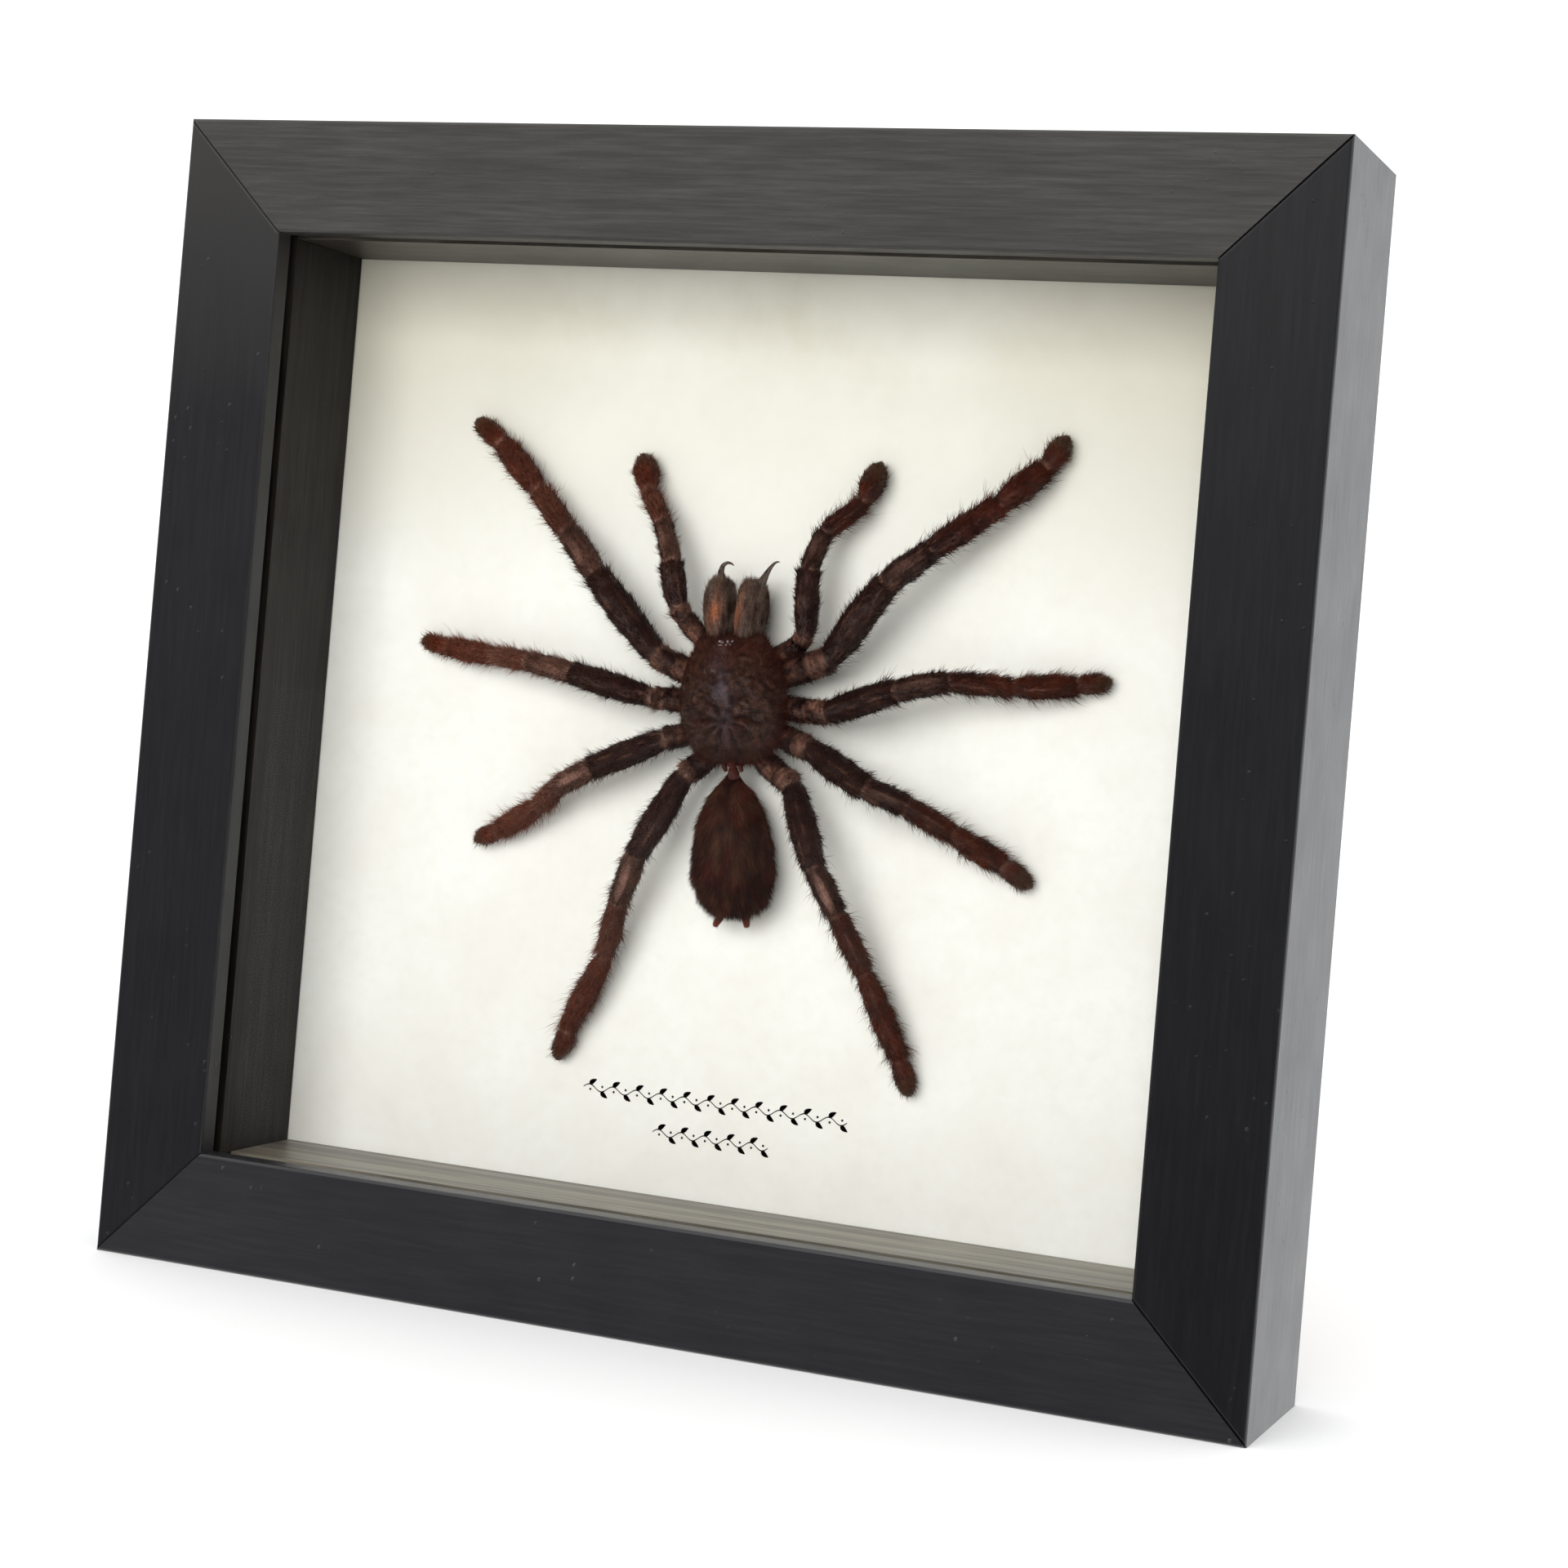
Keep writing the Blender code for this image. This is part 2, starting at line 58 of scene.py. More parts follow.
# Where the spider lies: the card's front face, and its own origin above the frame's foot
CARD_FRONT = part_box("mount_card")[0][1]
SPECIMEN_HEIGHT = 0.103

# Each limb's joints from the sternum to the tip, in millimetres, as (x, y, height)
LEGS = {
    "leg_1_left": ((-4.4, 3.0, 4.8), (-8.8, 3.6, 5.2), (-14.5, 6.0, 7.0), (-25.8, 18.7, 9.0),
                   (-32.5, 25.5, 7.0), (-39.8, 32.3, 4.5), (-48.2, 40.1, 3.0), (-54.8, 44.5, 1.6)),
    "leg_2_left": ((-4.8, -0.8, 4.8), (-9.5, -1.1, 5.2), (-14.5, -1.1, 7.0), (-28.8, 1.9, 9.0),
                   (-37.7, 3.2, 7.0), (-45.1, 3.7, 5.0), (-55.1, 4.5, 3.0), (-61.8, 5.4, 1.6)),
    "leg_3_left": ((-4.6, -4.4, 4.8), (-9.4, -7.0, 5.2), (-11.8, -7.7, 6.5), (-23.8, -13.6, 8.5),
                   (-30.4, -17.2, 7.0), (-34.4, -20.9, 5.0), (-42.7, -26.0, 3.0), (-48.2, -28.3, 1.6)),
    "leg_4_left": ((-2.8, -7.6, 4.8), (-5.4, -11.4, 5.2), (-7.5, -13.2, 7.0), (-14.3, -27.3, 9.0),
                   (-17.6, -35.5, 7.0), (-20.1, -44.9, 5.0), (-26.8, -58.2, 3.0), (-29.0, -64.1, 1.6)),
    "leg_1_right": ((4.4, 3.2, 4.8), (9.2, 4.9, 5.2), (16.7, 7.6, 8.0), (26.4, 20.5, 11.0),
                    (32.8, 26.3, 9.0), (42.8, 34.6, 6.0), (49.3, 41.0, 3.0), (52.4, 47.0, 1.6)),
    "leg_2_right": ((4.8, -0.8, 4.8), (9.4, -0.9, 5.2), (17.2, -1.1, 8.0), (29.6, 3.4, 12.0),
                    (37.7, 5.7, 9.0), (47.5, 5.5, 6.0), (57.3, 6.7, 3.0), (63.1, 8.0, 1.6)),
    "leg_3_right": ((4.6, -4.2, 4.8), (9.7, -5.9, 5.2), (14.3, -7.1, 7.5), (25.8, -12.5, 11.0),
                    (32.1, -14.7, 9.0), (39.3, -18.6, 6.0), (47.4, -22.9, 3.0), (52.6, -26.3, 1.6)),
    "leg_4_right": ((3.2, -7.6, 4.8), (7.3, -11.2, 5.2), (11.9, -13.1, 7.5), (18.1, -25.9, 11.0),
                    (21.9, -33.1, 9.0), (26.5, -42.4, 6.0), (32.7, -56.0, 3.0), (34.7, -62.4, 1.6)),
}
PALPS = {
    "palp_left": ((-4.0, 6.4, 4.6), (-8.7, 10.8, 5.4), (-11.4, 14.3, 7.0), (-12.7, 21.7, 8.0),
                  (-15.6, 28.2, 6.0), (-19.6, 33.4, 4.0), (-22.3, 40.3, 2.0)),
    "palp_right": ((4.0, 6.4, 4.6), (9.7, 9.1, 5.4), (11.9, 11.2, 7.0), (11.8, 21.9, 8.0),
                   (13.2, 28.3, 6.0), (19.0, 33.7, 4.0), (20.9, 41.0, 2.0)),
}

# Segments of a limb in order: radius at the near end, middle and far end in millimetres,
# how far the segment starts inside the one before it, and the length of its hair
LEG_SEGMENTS = (
    ("coxa", (1.6, 2.0, 2.0), 0.0, 0.40),
    ("trochanter", (2.0, 2.1, 1.9), 0.05, 0.40),
    ("femur", (1.70, 2.32, 1.88), 0.06, 0.65),
    ("patella", (1.72, 1.98, 1.62), 0.10, 0.65),
    ("tibia", (1.55, 1.80, 1.45), 0.09, 0.80),
    ("metatarsus", (1.30, 1.95, 1.38), 0.15, 0.85),
    ("tarsus", (1.22, 1.62, 1.0), 0.15, 0.60),
)
PALP_SEGMENTS = (
    ("coxa", (1.3, 1.65, 1.6), 0.0, 0.40),
    ("trochanter", (1.6, 1.7, 1.6), 0.05, 0.40),
    ("femur", (1.55, 2.0, 1.75), 0.04, 0.55),
    ("patella", (1.65, 1.62, 1.45), 0.07, 0.55),
    ("tibia", (1.4, 1.5, 1.25), 0.06, 0.8),
    ("tarsus", (1.05, 2.05, 0.9), 0.18, 0.55),
)
# Each limb's girth, how pale its far segments are, and how plainly its patella has caved in
LOOKS = {
    "leg_1_left": (1.06, 0.40, 0.20), "leg_1_right": (1.08, 0.02, 0.15),
    "leg_2_left": (0.90, 0.85, 0.30), "leg_2_right": (0.95, 0.08, 0.08),
    "leg_3_left": (0.92, 0.70, 0.9), "leg_3_right": (0.97, 0.08, 0.08),
    "leg_4_left": (0.97, 0.45, 0.7), "leg_4_right": (0.95, 0.12, 0.9),
    "palp_left": (0.98, 0.45, 0.1), "palp_right": (0.96, 0.05, 0.2),
}

# Half widths of the carapace along its middle, front margin first, in millimetres
CARAPACE_OUTLINE = (
    (10.5, 0.0), (10.45, 5.0), (9.9, 5.9), (8.2, 6.9), (6.0, 8.0), (3.0, 9.0), (0.0, 9.4),
    (-3.0, 9.3), (-5.5, 8.8), (-8.3, 7.3), (-10.0, 5.4), (-10.9, 3.0), (-10.8, 0.0),
)


# Small helpers ---------------------------------------------------------------------------

def linear(colour):
    """An sRGB colour of 0 to 255 as linear light."""
    return np.array([(c / 255.0) ** 2.2 for c in colour])


def on_card(points):
    """World places of points given in the spider's own millimetres."""
    points = np.asarray(points, dtype=float)
    x = points[..., 0] * MM
    y = CARD_FRONT - points[..., 2] * MM
    z = SPECIMEN_HEIGHT + points[..., 1] * MM
    return np.stack([x, y, z], axis=-1)


def bell(value, width):
    """1 at a value of 0, falling off smoothly on either side."""
    return math.exp(-((value / width) ** 2))


def angle_gap(a, b):
    """Signed difference of two angles, between minus and plus half a turn."""
    return (a - b + math.pi) % FULL_TURN - math.pi


def blend(low, high, share):
    """From low at a share of 0 to high at a share of 1."""
    return low + (high - low) * min(max(share, 0.0), 1.0)


def drift(x, y, z):
    """Smooth noise at a place, from about minus 1 to 1."""
    return noise.noise(Vector((x, y, z)))


def mesh_of(form, name):
    """Ends a form and gives it as a mesh. The operators don't give their faces in the same
    order on each run, and the hair is set face by face, so the faces are put in order."""
    form.verts.index_update()
    faces = []
    for face in form.faces:
        corners = [vert.index for vert in face.verts]
        first = corners.index(min(corners))
        faces.append(corners[first:] + corners[:first])
    mesh = bpy.data.meshes.new(name)
    mesh.from_pydata([vert.co[:] for vert in form.verts], [], sorted(faces))
    form.free()
    return mesh


def per_vertex(mesh, what):
    """One row for each vertex with what is asked for: its co or its normal."""
    values = np.empty(len(mesh.vertices) * 3)
    mesh.vertices.foreach_get(what, values)
    return values.reshape(-1, 3)


def add_object(name, data, material=None):
    thing = bpy.data.objects.new(name, data)
    bpy.context.scene.collection.objects.link(thing)
    if material is not None:
        data.materials.append(material)
    return thing


def keep_piece(thing, slot, *nodes):
    """A piece of the root body that stands for CAD nodes, which it hides. The slot is not used."""
    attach(thing, "root")
    if nodes:
        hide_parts(*nodes)
    return thing


# Colours of the hide, given as sRGB and kept as linear light
HIDE_BASE = (62, 41, 35)
DARK = linear((44, 29, 27))
BROWN = linear(HIDE_BASE)
RUST = linear((96, 46, 31))
TAN = linear((120, 82, 68))
MEMBRANE = linear((146, 108, 94))
PALE_FUZZ = linear((130, 92, 77))
TIP = linear((78, 60, 44))
GOLD = linear((116, 90, 66))
SLATE = linear((78, 74, 84))
ORANGE = linear((138, 80, 52))
JAW_GREY = linear((108, 90, 80))
WINE = linear((76, 41, 36))
HORN = linear((58, 50, 46))
FINGER_RED = linear((104, 54, 42))
WAIST_RED = linear((62, 28, 23))


# Materials -------------------------------------------------------------------------------

def new_material(name, colour, roughness, metallic=0.0):
    """A material of one sRGB colour, with its tree and shader."""
    material = bpy.data.materials.new(name)
    material.use_nodes = True
    shader = material.node_tree.nodes["Principled BSDF"]
    base = (*linear(colour), 1.0)
    set_inputs(shader, Base_Color=base, Roughness=roughness, Metallic=metallic)
    return material, material.node_tree, shader


def set_inputs(node, **values):
    """Sets a node's inputs by name, with _ for each space."""
    for key, value in values.items():
        node.inputs[key.replace("_", " ")].default_value = value


def add_node(tree, kind, settings=(), **values):
    """A node with its properties from settings and its inputs by name from values."""
    made = tree.nodes.new(kind)
    for key, value in dict(settings).items():
        setattr(made, key, value)
    set_inputs(made, **values)
    return made


def object_coordinates(tree, scale=(1.0, 1.0, 1.0), turn=(0.0, 0.0, 0.0)):
    """Object coordinates through a Mapping node."""
    coordinates = add_node(tree, "ShaderNodeTexCoord")
    mapping = add_node(tree, "ShaderNodeMapping", Scale=scale, Rotation=turn)
    tree.links.new(coordinates.outputs["Object"], mapping.inputs["Vector"])
    return mapping.outputs["Vector"]


def noise_of(tree, vector, scale, detail=3.0, roughness=0.55):
    made = add_node(tree, "ShaderNodeTexNoise", Scale=scale, Detail=detail, Roughness=roughness)
    tree.links.new(vector, made.inputs["Vector"])
    return made.outputs["Fac"]


def ramp(tree, value, low, high, start=0.0, end=1.0):
    """Goes from low to high while a value goes from start to end."""
    limits = {"From_Min": start, "From_Max": end, "To_Min": low, "To_Max": high}
    made = add_node(tree, "ShaderNodeMapRange", **limits)
    tree.links.new(value, made.inputs["Value"])
    return made.outputs["Result"]


def share_between(tree, value, start, end):
    """Grows from 0 to 1 while a value goes from start to end."""
    return ramp(tree, value, 0.0, 1.0, start, end)


def share_along(tree, vector, axis, start, end):
    """Grows from 0 to 1 between two places along one axis."""
    split = add_node(tree, "ShaderNodeSeparateXYZ")
    tree.links.new(vector, split.inputs[0])
    return share_between(tree, split.outputs[axis], start, end)


def multiply(tree, first, second):
    product = add_node(tree, "ShaderNodeMath", {"operation": "MULTIPLY"})
    tree.links.new(first, product.inputs[0])
    tree.links.new(second, product.inputs[1])
    return product.outputs[0]


def mix_colour(tree, share, first, second):
    """Mixes two colours, each a socket or an sRGB colour."""
    made = add_node(tree, "ShaderNodeMix", {"data_type": "RGBA"})
    tree.links.new(share, made.inputs[0])
    for socket, given in ((made.inputs[6], first), (made.inputs[7], second)):
        if isinstance(given, bpy.types.NodeSocket):
            tree.links.new(given, socket)
        else:
            socket.default_value = (*linear(given), 1.0)
    return made.outputs[2]


def bump(tree, shader, layers):
    """Bumps one on another: each layer is (height socket, strength, distance)."""
    normal = None
    for height, strength, distance in layers:
        made = add_node(tree, "ShaderNodeBump", Strength=strength, Distance=distance)
        tree.links.new(height, made.inputs["Height"])
        if normal is not None:
            tree.links.new(normal, made.inputs["Normal"])
        normal = made.outputs["Normal"]
    tree.links.new(normal, shader.inputs["Normal"])


# Paint on the frame: how fine its grain, bands, patches and dust are, in turns per metre
FINE_GRAIN, BROAD_GRAIN, PAINT_PATCHES, DUST_CELLS, DUSTY_PATCHES = 1500.0, 420.0, 60.0, 420.0, 90.0
# Axes that the grain can follow
LEVEL, UPRIGHT = 0, 2
# Painted light on the frame: a paler tone towards the top of the left upright is a painted sheen of
# the light from above, and streaked blue-greys on the outer sides are a painted reflection of the
# bright surroundings; then the reach over which each comes in
PAINTED_SHEEN_TONE = (42, 41, 40)
REFLECTION_DARK, REFLECTION_PALE = (50, 52, 55), (80, 82, 86)
PAINTED_SHEEN_REACH = 45 * MM
REFLECTION_REACH = 0.1 * MM
# Depths of the paint's grain and of a dust nib, in metres
BAND_DEPTH, GRAIN_DEPTH, NIB_DEPTH = 0.00012, 0.00008, 0.00025


def painted_wood(name, along, colour, roughness, grain=0.35, gloss=0.5, worn_tone=1.25, banding=0.0,
                 stretch=0.05, painted_reflection_from=None, painted_sheen_from=None):
    """Black paint brushed on wood: grain along one axis, darker bands, and some dust nibs.

    Past the given side, out from the middle, a streaked blue-grey is painted on: a painted reflection
    of the bright surroundings in the outer sides, streaked by the grain. Above the given height it
    grows paler towards the top: a painted sheen of the light from above.
    """
    material, tree, shader = new_material(name, colour, roughness)
    scale = [1.0, 1.0, 1.0]
    scale[along] = stretch
    vector = object_coordinates(tree, scale)
    plain = object_coordinates(tree)
    fine = noise_of(tree, vector, FINE_GRAIN, 5.0, 0.7)
    broad = noise_of(tree, vector, BROAD_GRAIN, 3.0, 0.6)
    patches = noise_of(tree, plain, PAINT_PATCHES)
    cells = add_node(tree, "ShaderNodeTexVoronoi", Scale=DUST_CELLS, Randomness=1.0)
    tree.links.new(plain, cells.inputs["Vector"])
    dust = ramp(tree, cells.outputs["Distance"], 1.0, 0.0, 0.03, 0.14)
    dusty = share_between(tree, noise_of(tree, plain, DUSTY_PATCHES), 0.55, 0.66)
    nibs = multiply(tree, dust, dusty)
    worn = share_between(tree, fine, 0.42, 0.70)
    tint = mix_colour(tree, worn, colour, [c * worn_tone for c in colour])
    bands = ramp(tree, broad, banding, 0.0, 0.40, 0.58)
    tint = mix_colour(tree, bands, tint, [c * 0.55 for c in colour])
    tint = mix_colour(tree, ramp(tree, nibs, 0.0, 0.3), tint, [c * 1.2 + 8 for c in colour])
    # painted sheen: paler towards the top, standing in for the light from above
    if painted_sheen_from is not None:
        painted_sheen_above = share_along(tree, plain, "Z", painted_sheen_from, painted_sheen_from + PAINTED_SHEEN_REACH)
        tint = mix_colour(tree, painted_sheen_above, tint, PAINTED_SHEEN_TONE)
    # painted reflection: the outer sides take a streaked blue-grey that stands in for the bright
    # surroundings mirrored in them; thin and bare carry this painted colour
    if painted_reflection_from is not None:
        outward = add_node(tree, "ShaderNodeVectorMath", {"operation": "ABSOLUTE"})
        tree.links.new(plain, outward.inputs[0])
        thin = share_along(tree, outward.outputs["Vector"], "X", painted_reflection_from, painted_reflection_from + REFLECTION_REACH)
        bare = mix_colour(tree, worn, REFLECTION_DARK, REFLECTION_PALE)
        tint = mix_colour(tree, thin, tint, bare)
    tree.links.new(tint, shader.inputs["Base Color"])
    set_inputs(shader, Specular_IOR_Level=gloss)
    dull = ramp(tree, patches, roughness - 0.03, roughness + 0.03, 0.3, 0.7)
    tree.links.new(dull, shader.inputs["Roughness"])
    bump(tree, shader, (
        (broad, grain * 0.8, BAND_DEPTH), (fine, grain, GRAIN_DEPTH), (nibs, 0.7, NIB_DEPTH)))
    return material


def clear_glass():
    """Clear glass with a trace of green, whose mirroring is held back."""
    material, _, shader = new_material("clear_pane", (255, 255, 255), 0.0)
    set_inputs(shader, Base_Color=(0.99, 1.0, 0.995, 1.0), Transmission_Weight=1.0, IOR=1.5,
               Specular_Tint=(0.03, 0.03, 0.03, 1.0))
    return material


def parchment():
    """Warm white card with soft mottling and a faint fibre, darker towards its top and its top
    corners: painted shade under the top rail, with some ageing of the card.
    """
    material, tree, shader = new_material("parchment_card", (240, 238, 230), 0.85)
    plain = object_coordinates(tree)
    clouds = noise_of(tree, plain, 55.0, 5.0, 0.6)
    flecks = noise_of(tree, plain, 420.0, 4.0, 0.6)
    fibre = noise_of(tree, object_coordinates(tree, (1.0, 1.0, 0.35)), 2500.0, 3.0, 0.6)
    soft = share_between(tree, clouds, 0.35, 0.70)
    tint = mix_colour(tree, soft, (241, 238, 229), (247, 246, 240))
    fine = ramp(tree, flecks, 0.0, 0.30, 0.45, 0.80)
    tint = mix_colour(tree, fine, tint, (232, 228, 216))
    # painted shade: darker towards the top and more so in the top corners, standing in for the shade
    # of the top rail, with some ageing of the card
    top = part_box("mount_card")[1][2]
    shade_and_age = share_along(tree, plain, "Z", top - 62 * MM, top - 12 * MM)
    patchy = ramp(tree, clouds, 0.55, 0.95, 0.35, 0.65)
    tint = mix_colour(tree, multiply(tree, shade_and_age, patchy), tint, (212, 207, 190))
    for side in (-1, 1):
        corner = share_along(tree, plain, "X", side * 35 * MM, side * 80 * MM)
        tint = mix_colour(tree, multiply(tree, shade_and_age, corner), tint, (204, 199, 182))
    tree.links.new(tint, shader.inputs["Base Color"])
    bump(tree, shader, ((fibre, 0.12, 0.00004), (flecks, 0.15, 0.00008)))
    set_inputs(shader, Specular_IOR_Level=0.3)
    return material


def two_toned(name, colour, roughness, spots, between, tones):
    """A finish that drifts between two tones: its material, tree, shader and patches."""
    material, tree, shader = new_material(name, colour, roughness)
    patches = noise_of(tree, object_coordinates(tree), *spots)
    tint = mix_colour(tree, share_between(tree, patches, *between), *tones)
    tree.links.new(tint, shader.inputs["Base Color"])
    return material, tree, shader, patches


def ink():
    """Grey-brown printing ink, thin in places."""
    tones = ((66, 63, 52), (104, 100, 86))
    return two_toned("printed_ink", (58, 58, 48), 0.7, (3000.0, 2.0), (0.35, 0.75), tones)[0]


def hardboard():
    """Smooth brown hardboard with fine flecks of fibre."""
    colour = (134, 98, 66)
    material, tree, shader = new_material("brown_hardboard", colour, 0.6)
    plain = object_coordinates(tree)
    clouds = noise_of(tree, plain, 40.0, 4.0)
    flecks = noise_of(tree, plain, 1500.0, 4.0, 0.7)
    base = mix_colour(tree, share_between(tree, clouds, 0.35, 0.65), (120, 84, 54), colour)
    fleck = mix_colour(tree, ramp(tree, flecks, 0.0, 0.7, 0.52, 0.75), base, (78, 52, 34))
    tree.links.new(fleck, shader.inputs["Base Color"])
    bump(tree, shader, ((flecks, 0.3, 0.00005),))
    return material


def zinc_steel():
    """Zinc-plated sheet steel with rolled streaks and dull patches."""
    material, tree, shader = new_material("zinc_steel", (186, 186, 182), 0.35, 1.0)
    streaks = noise_of(tree, object_coordinates(tree, (0.05, 1.0, 1.0)), 2500.0)
    patches = noise_of(tree, object_coordinates(tree), 500.0)
    tree.links.new(ramp(tree, patches, 0.25, 0.5, 0.3, 0.7), shader.inputs["Roughness"])
    tint = mix_colour(tree, share_between(tree, patches, 0.3, 0.7), (160, 160, 158), (200, 200, 196))
    tree.links.new(tint, shader.inputs["Base Color"])
    bump(tree, shader, ((streaks, 0.15, 0.00003),))
    return material


def tint_by_piece(tree, shader, factor):
    """The colour is the piece's own tint, made lighter or darker by a factor."""
    tint = add_node(tree, "ShaderNodeAttribute", {"attribute_name": "tint"})
    shade = add_node(tree, "ShaderNodeVectorMath", {"operation": "SCALE"})
    tree.links.new(tint.outputs["Color"], shade.inputs[0])
    tree.links.new(factor, shade.inputs["Scale"])
    tree.links.new(shade.outputs["Vector"], shader.inputs["Base Color"])


def hide_material(name, roughness, coat=0.0):
    """Dried hide: the piece's own tint, broken up by fine pits and creases."""
    material, tree, shader = new_material(name, HIDE_BASE, roughness)
    plain = object_coordinates(tree)
    pits = noise_of(tree, plain, 2600.0, 4.0, 0.7)
    creases = noise_of(tree, plain, 900.0, 4.0, 0.6)
    tint_by_piece(tree, shader, ramp(tree, pits, 0.40, 1.45, 0.32, 0.66))
    rough = ramp(tree, creases, roughness - 0.12, roughness + 0.12, 0.3, 0.7)
    tree.links.new(rough, shader.inputs["Roughness"])
    bump(tree, shader, ((creases, 0.5, 0.00012), (pits, 0.5, 0.00005)))
    set_inputs(shader, Specular_IOR_Level=0.22, Coat_Weight=coat, Coat_Roughness=0.3)
    return material


def hair_material(name, roughness):
    """Hairs take the tint of the hide below them."""
    material, tree, shader = new_material(name, HIDE_BASE, roughness)
    grain = noise_of(tree, object_coordinates(tree), 4000.0, 2.0)
    tint_by_piece(tree, shader, ramp(tree, grain, 0.8, 1.2, 0.3, 0.7))
    set_inputs(shader, Specular_IOR_Level=0.10)
    return material


def fang_material():
    """Dark horn with paler patches, slightly uneven."""
    tones = ((34, 29, 27), (98, 82, 70))
    material, tree, shader, patches = two_toned(
        "fang_horn", (46, 40, 37), 0.28, (1500.0, 3.0), (0.3, 0.7), tones)
    bump(tree, shader, ((patches, 0.2, 0.00004),))
    return material


def eye_material():
    """Dark lens with a milky bloom."""
    tones = ((40, 26, 28), (170, 150, 150))
    return two_toned("eye_lens", (60, 40, 44), 0.16, (5000.0, 2.0), (0.4, 0.7), tones)[0]


# Hide: a skin is a sphere's mesh laid onto a form, with what its hair needs to know --------

class Skin:
    """A closed hide, and for each vertex the way its hair lies, its length and its tint."""

    def __init__(self, name, around, along):
        self.name = name
        self.form = bmesh.new()
        bmesh.ops.create_uvsphere(self.form, u_segments=around, v_segments=along, radius=1.0)
        self.flow = []
        self.coat = []
        self.tint = []

    def lay(self, place_of):
        """Moves each vertex to place_of(share from pole to pole, angle), which gives its
        point, flow, coat and tint."""
        for vert in self.form.verts:
            share = math.acos(max(-1.0, min(1.0, vert.co.z))) / math.pi
            angle = math.atan2(vert.co.y, vert.co.x)
            point, flow, coat, tint = place_of(share, angle)
            vert.co = Vector(point)
            self.flow.append(flow)
            self.coat.append(coat)
            self.tint.append(tint)

    def finish(self, material):
        """The object, set on the card, with its tint as an attribute."""
        bmesh.ops.recalc_face_normals(self.form, faces=self.form.faces[:])
        mesh = mesh_of(self.form, self.name)
        mesh.vertices.foreach_set("co", on_card(per_vertex(mesh, "co")).ravel())
        mesh.update()
        if fix_inside_out(mesh):
            mesh.update()
        mesh.shade_smooth()
        # painted shade: the hide is darker where its fur is long, standing in for the shade under the
        # fur
        fur_shade = 1.0 - 0.35 * np.minimum(np.asarray(self.coat), 1.0)
        paint(mesh, np.asarray(self.tint) * fur_shade[:, None])
        self.mesh = mesh
        return add_object(self.name, mesh, material)


def make_skin(name, around, along, form, material, slot, *nodes):
    """A closed hide laid on a form and kept as a piece. The skin is for its hair."""
    skin = Skin(name, around, along)
    skin.lay(form)
    keep_piece(skin.finish(material), slot, *nodes)
    return skin


def fix_inside_out(mesh):
    """Turns the faces over when the closed mesh's volume comes out negative."""
    form = bmesh.new()
    form.from_mesh(mesh)
    wrong = form.calc_volume(signed=True) < 0.0
    if wrong:
        bmesh.ops.reverse_faces(form, faces=form.faces[:])
        form.to_mesh(mesh)
    form.free()
    return wrong


def paint(mesh, tints):
    """Stores one linear colour for each vertex as the attribute tint."""
    layer = mesh.color_attributes.new("tint", "FLOAT_COLOR", "POINT")
    tints = np.asarray(tints, dtype=float)
    colours = np.ones((len(tints), 4))
    colours[:, :3] = tints
    layer.data.foreach_set("color", colours.ravel())


def flow_on_card(vectors):
    """World directions of the spider's own directions."""
    vectors = np.asarray(vectors, dtype=float)
    return np.stack([vectors[:, 0], -vectors[:, 2], vectors[:, 1]], axis=1)


# Where the three corners of a hair stand round it
THIRDS_OF_TURN = (0.0, 2.0944, 4.18879)
# How far in front of the card a hair stays
CARD_GAP = 0.02 * MM
# Waves through the fur, in turns per millimetre, that set how its hairs clump
CLUMPS = np.array([(2.1, 1.3, 0.9), (-0.8, 2.4, 1.7), (1.9, -1.1, 2.2),
                   (3.1, 0.4, 2.6), (-2.2, 1.9, 3.3), (1.2, 0.7, -1.4)])


def unit(vectors):
    length = np.linalg.norm(vectors, axis=1, keepdims=True)
    return vectors / np.maximum(length, 1e-9)


def hair_roots(skin, count, draw, lengths):
    """Random places on a skin, more where the hair is long: point, normal, flow, length, tint."""
    mesh = skin.mesh
    mesh.calc_loop_triangles()
    triangles = np.empty(len(mesh.loop_triangles) * 3, dtype=int)
    mesh.loop_triangles.foreach_get("vertices", triangles)
    triangles = triangles.reshape(-1, 3)
    places = per_vertex(mesh, "co")
    normals = per_vertex(mesh, "normal")
    first, second, third = places[triangles].transpose(1, 0, 2)
    area = np.linalg.norm(np.cross(second - first, third - first), axis=1)
    weight = area * np.minimum(lengths[triangles].mean(axis=1), 0.8)
    chosen = draw.choice(len(triangles), size=count, p=weight / weight.sum())
    shares = draw.dirichlet((1.0, 1.0, 1.0), size=count)[:, :, None]
    picked = triangles[chosen]
    flow = flow_on_card(skin.flow)
    return (
        (places[picked] * shares).sum(axis=1),
        unit((normals[picked] * shares).sum(axis=1)),
        unit((flow[picked] * shares).sum(axis=1)),
        (lengths[picked] * shares[:, :, 0]).sum(axis=1),
        (np.asarray(skin.tint)[picked] * shares).sum(axis=1),
    )


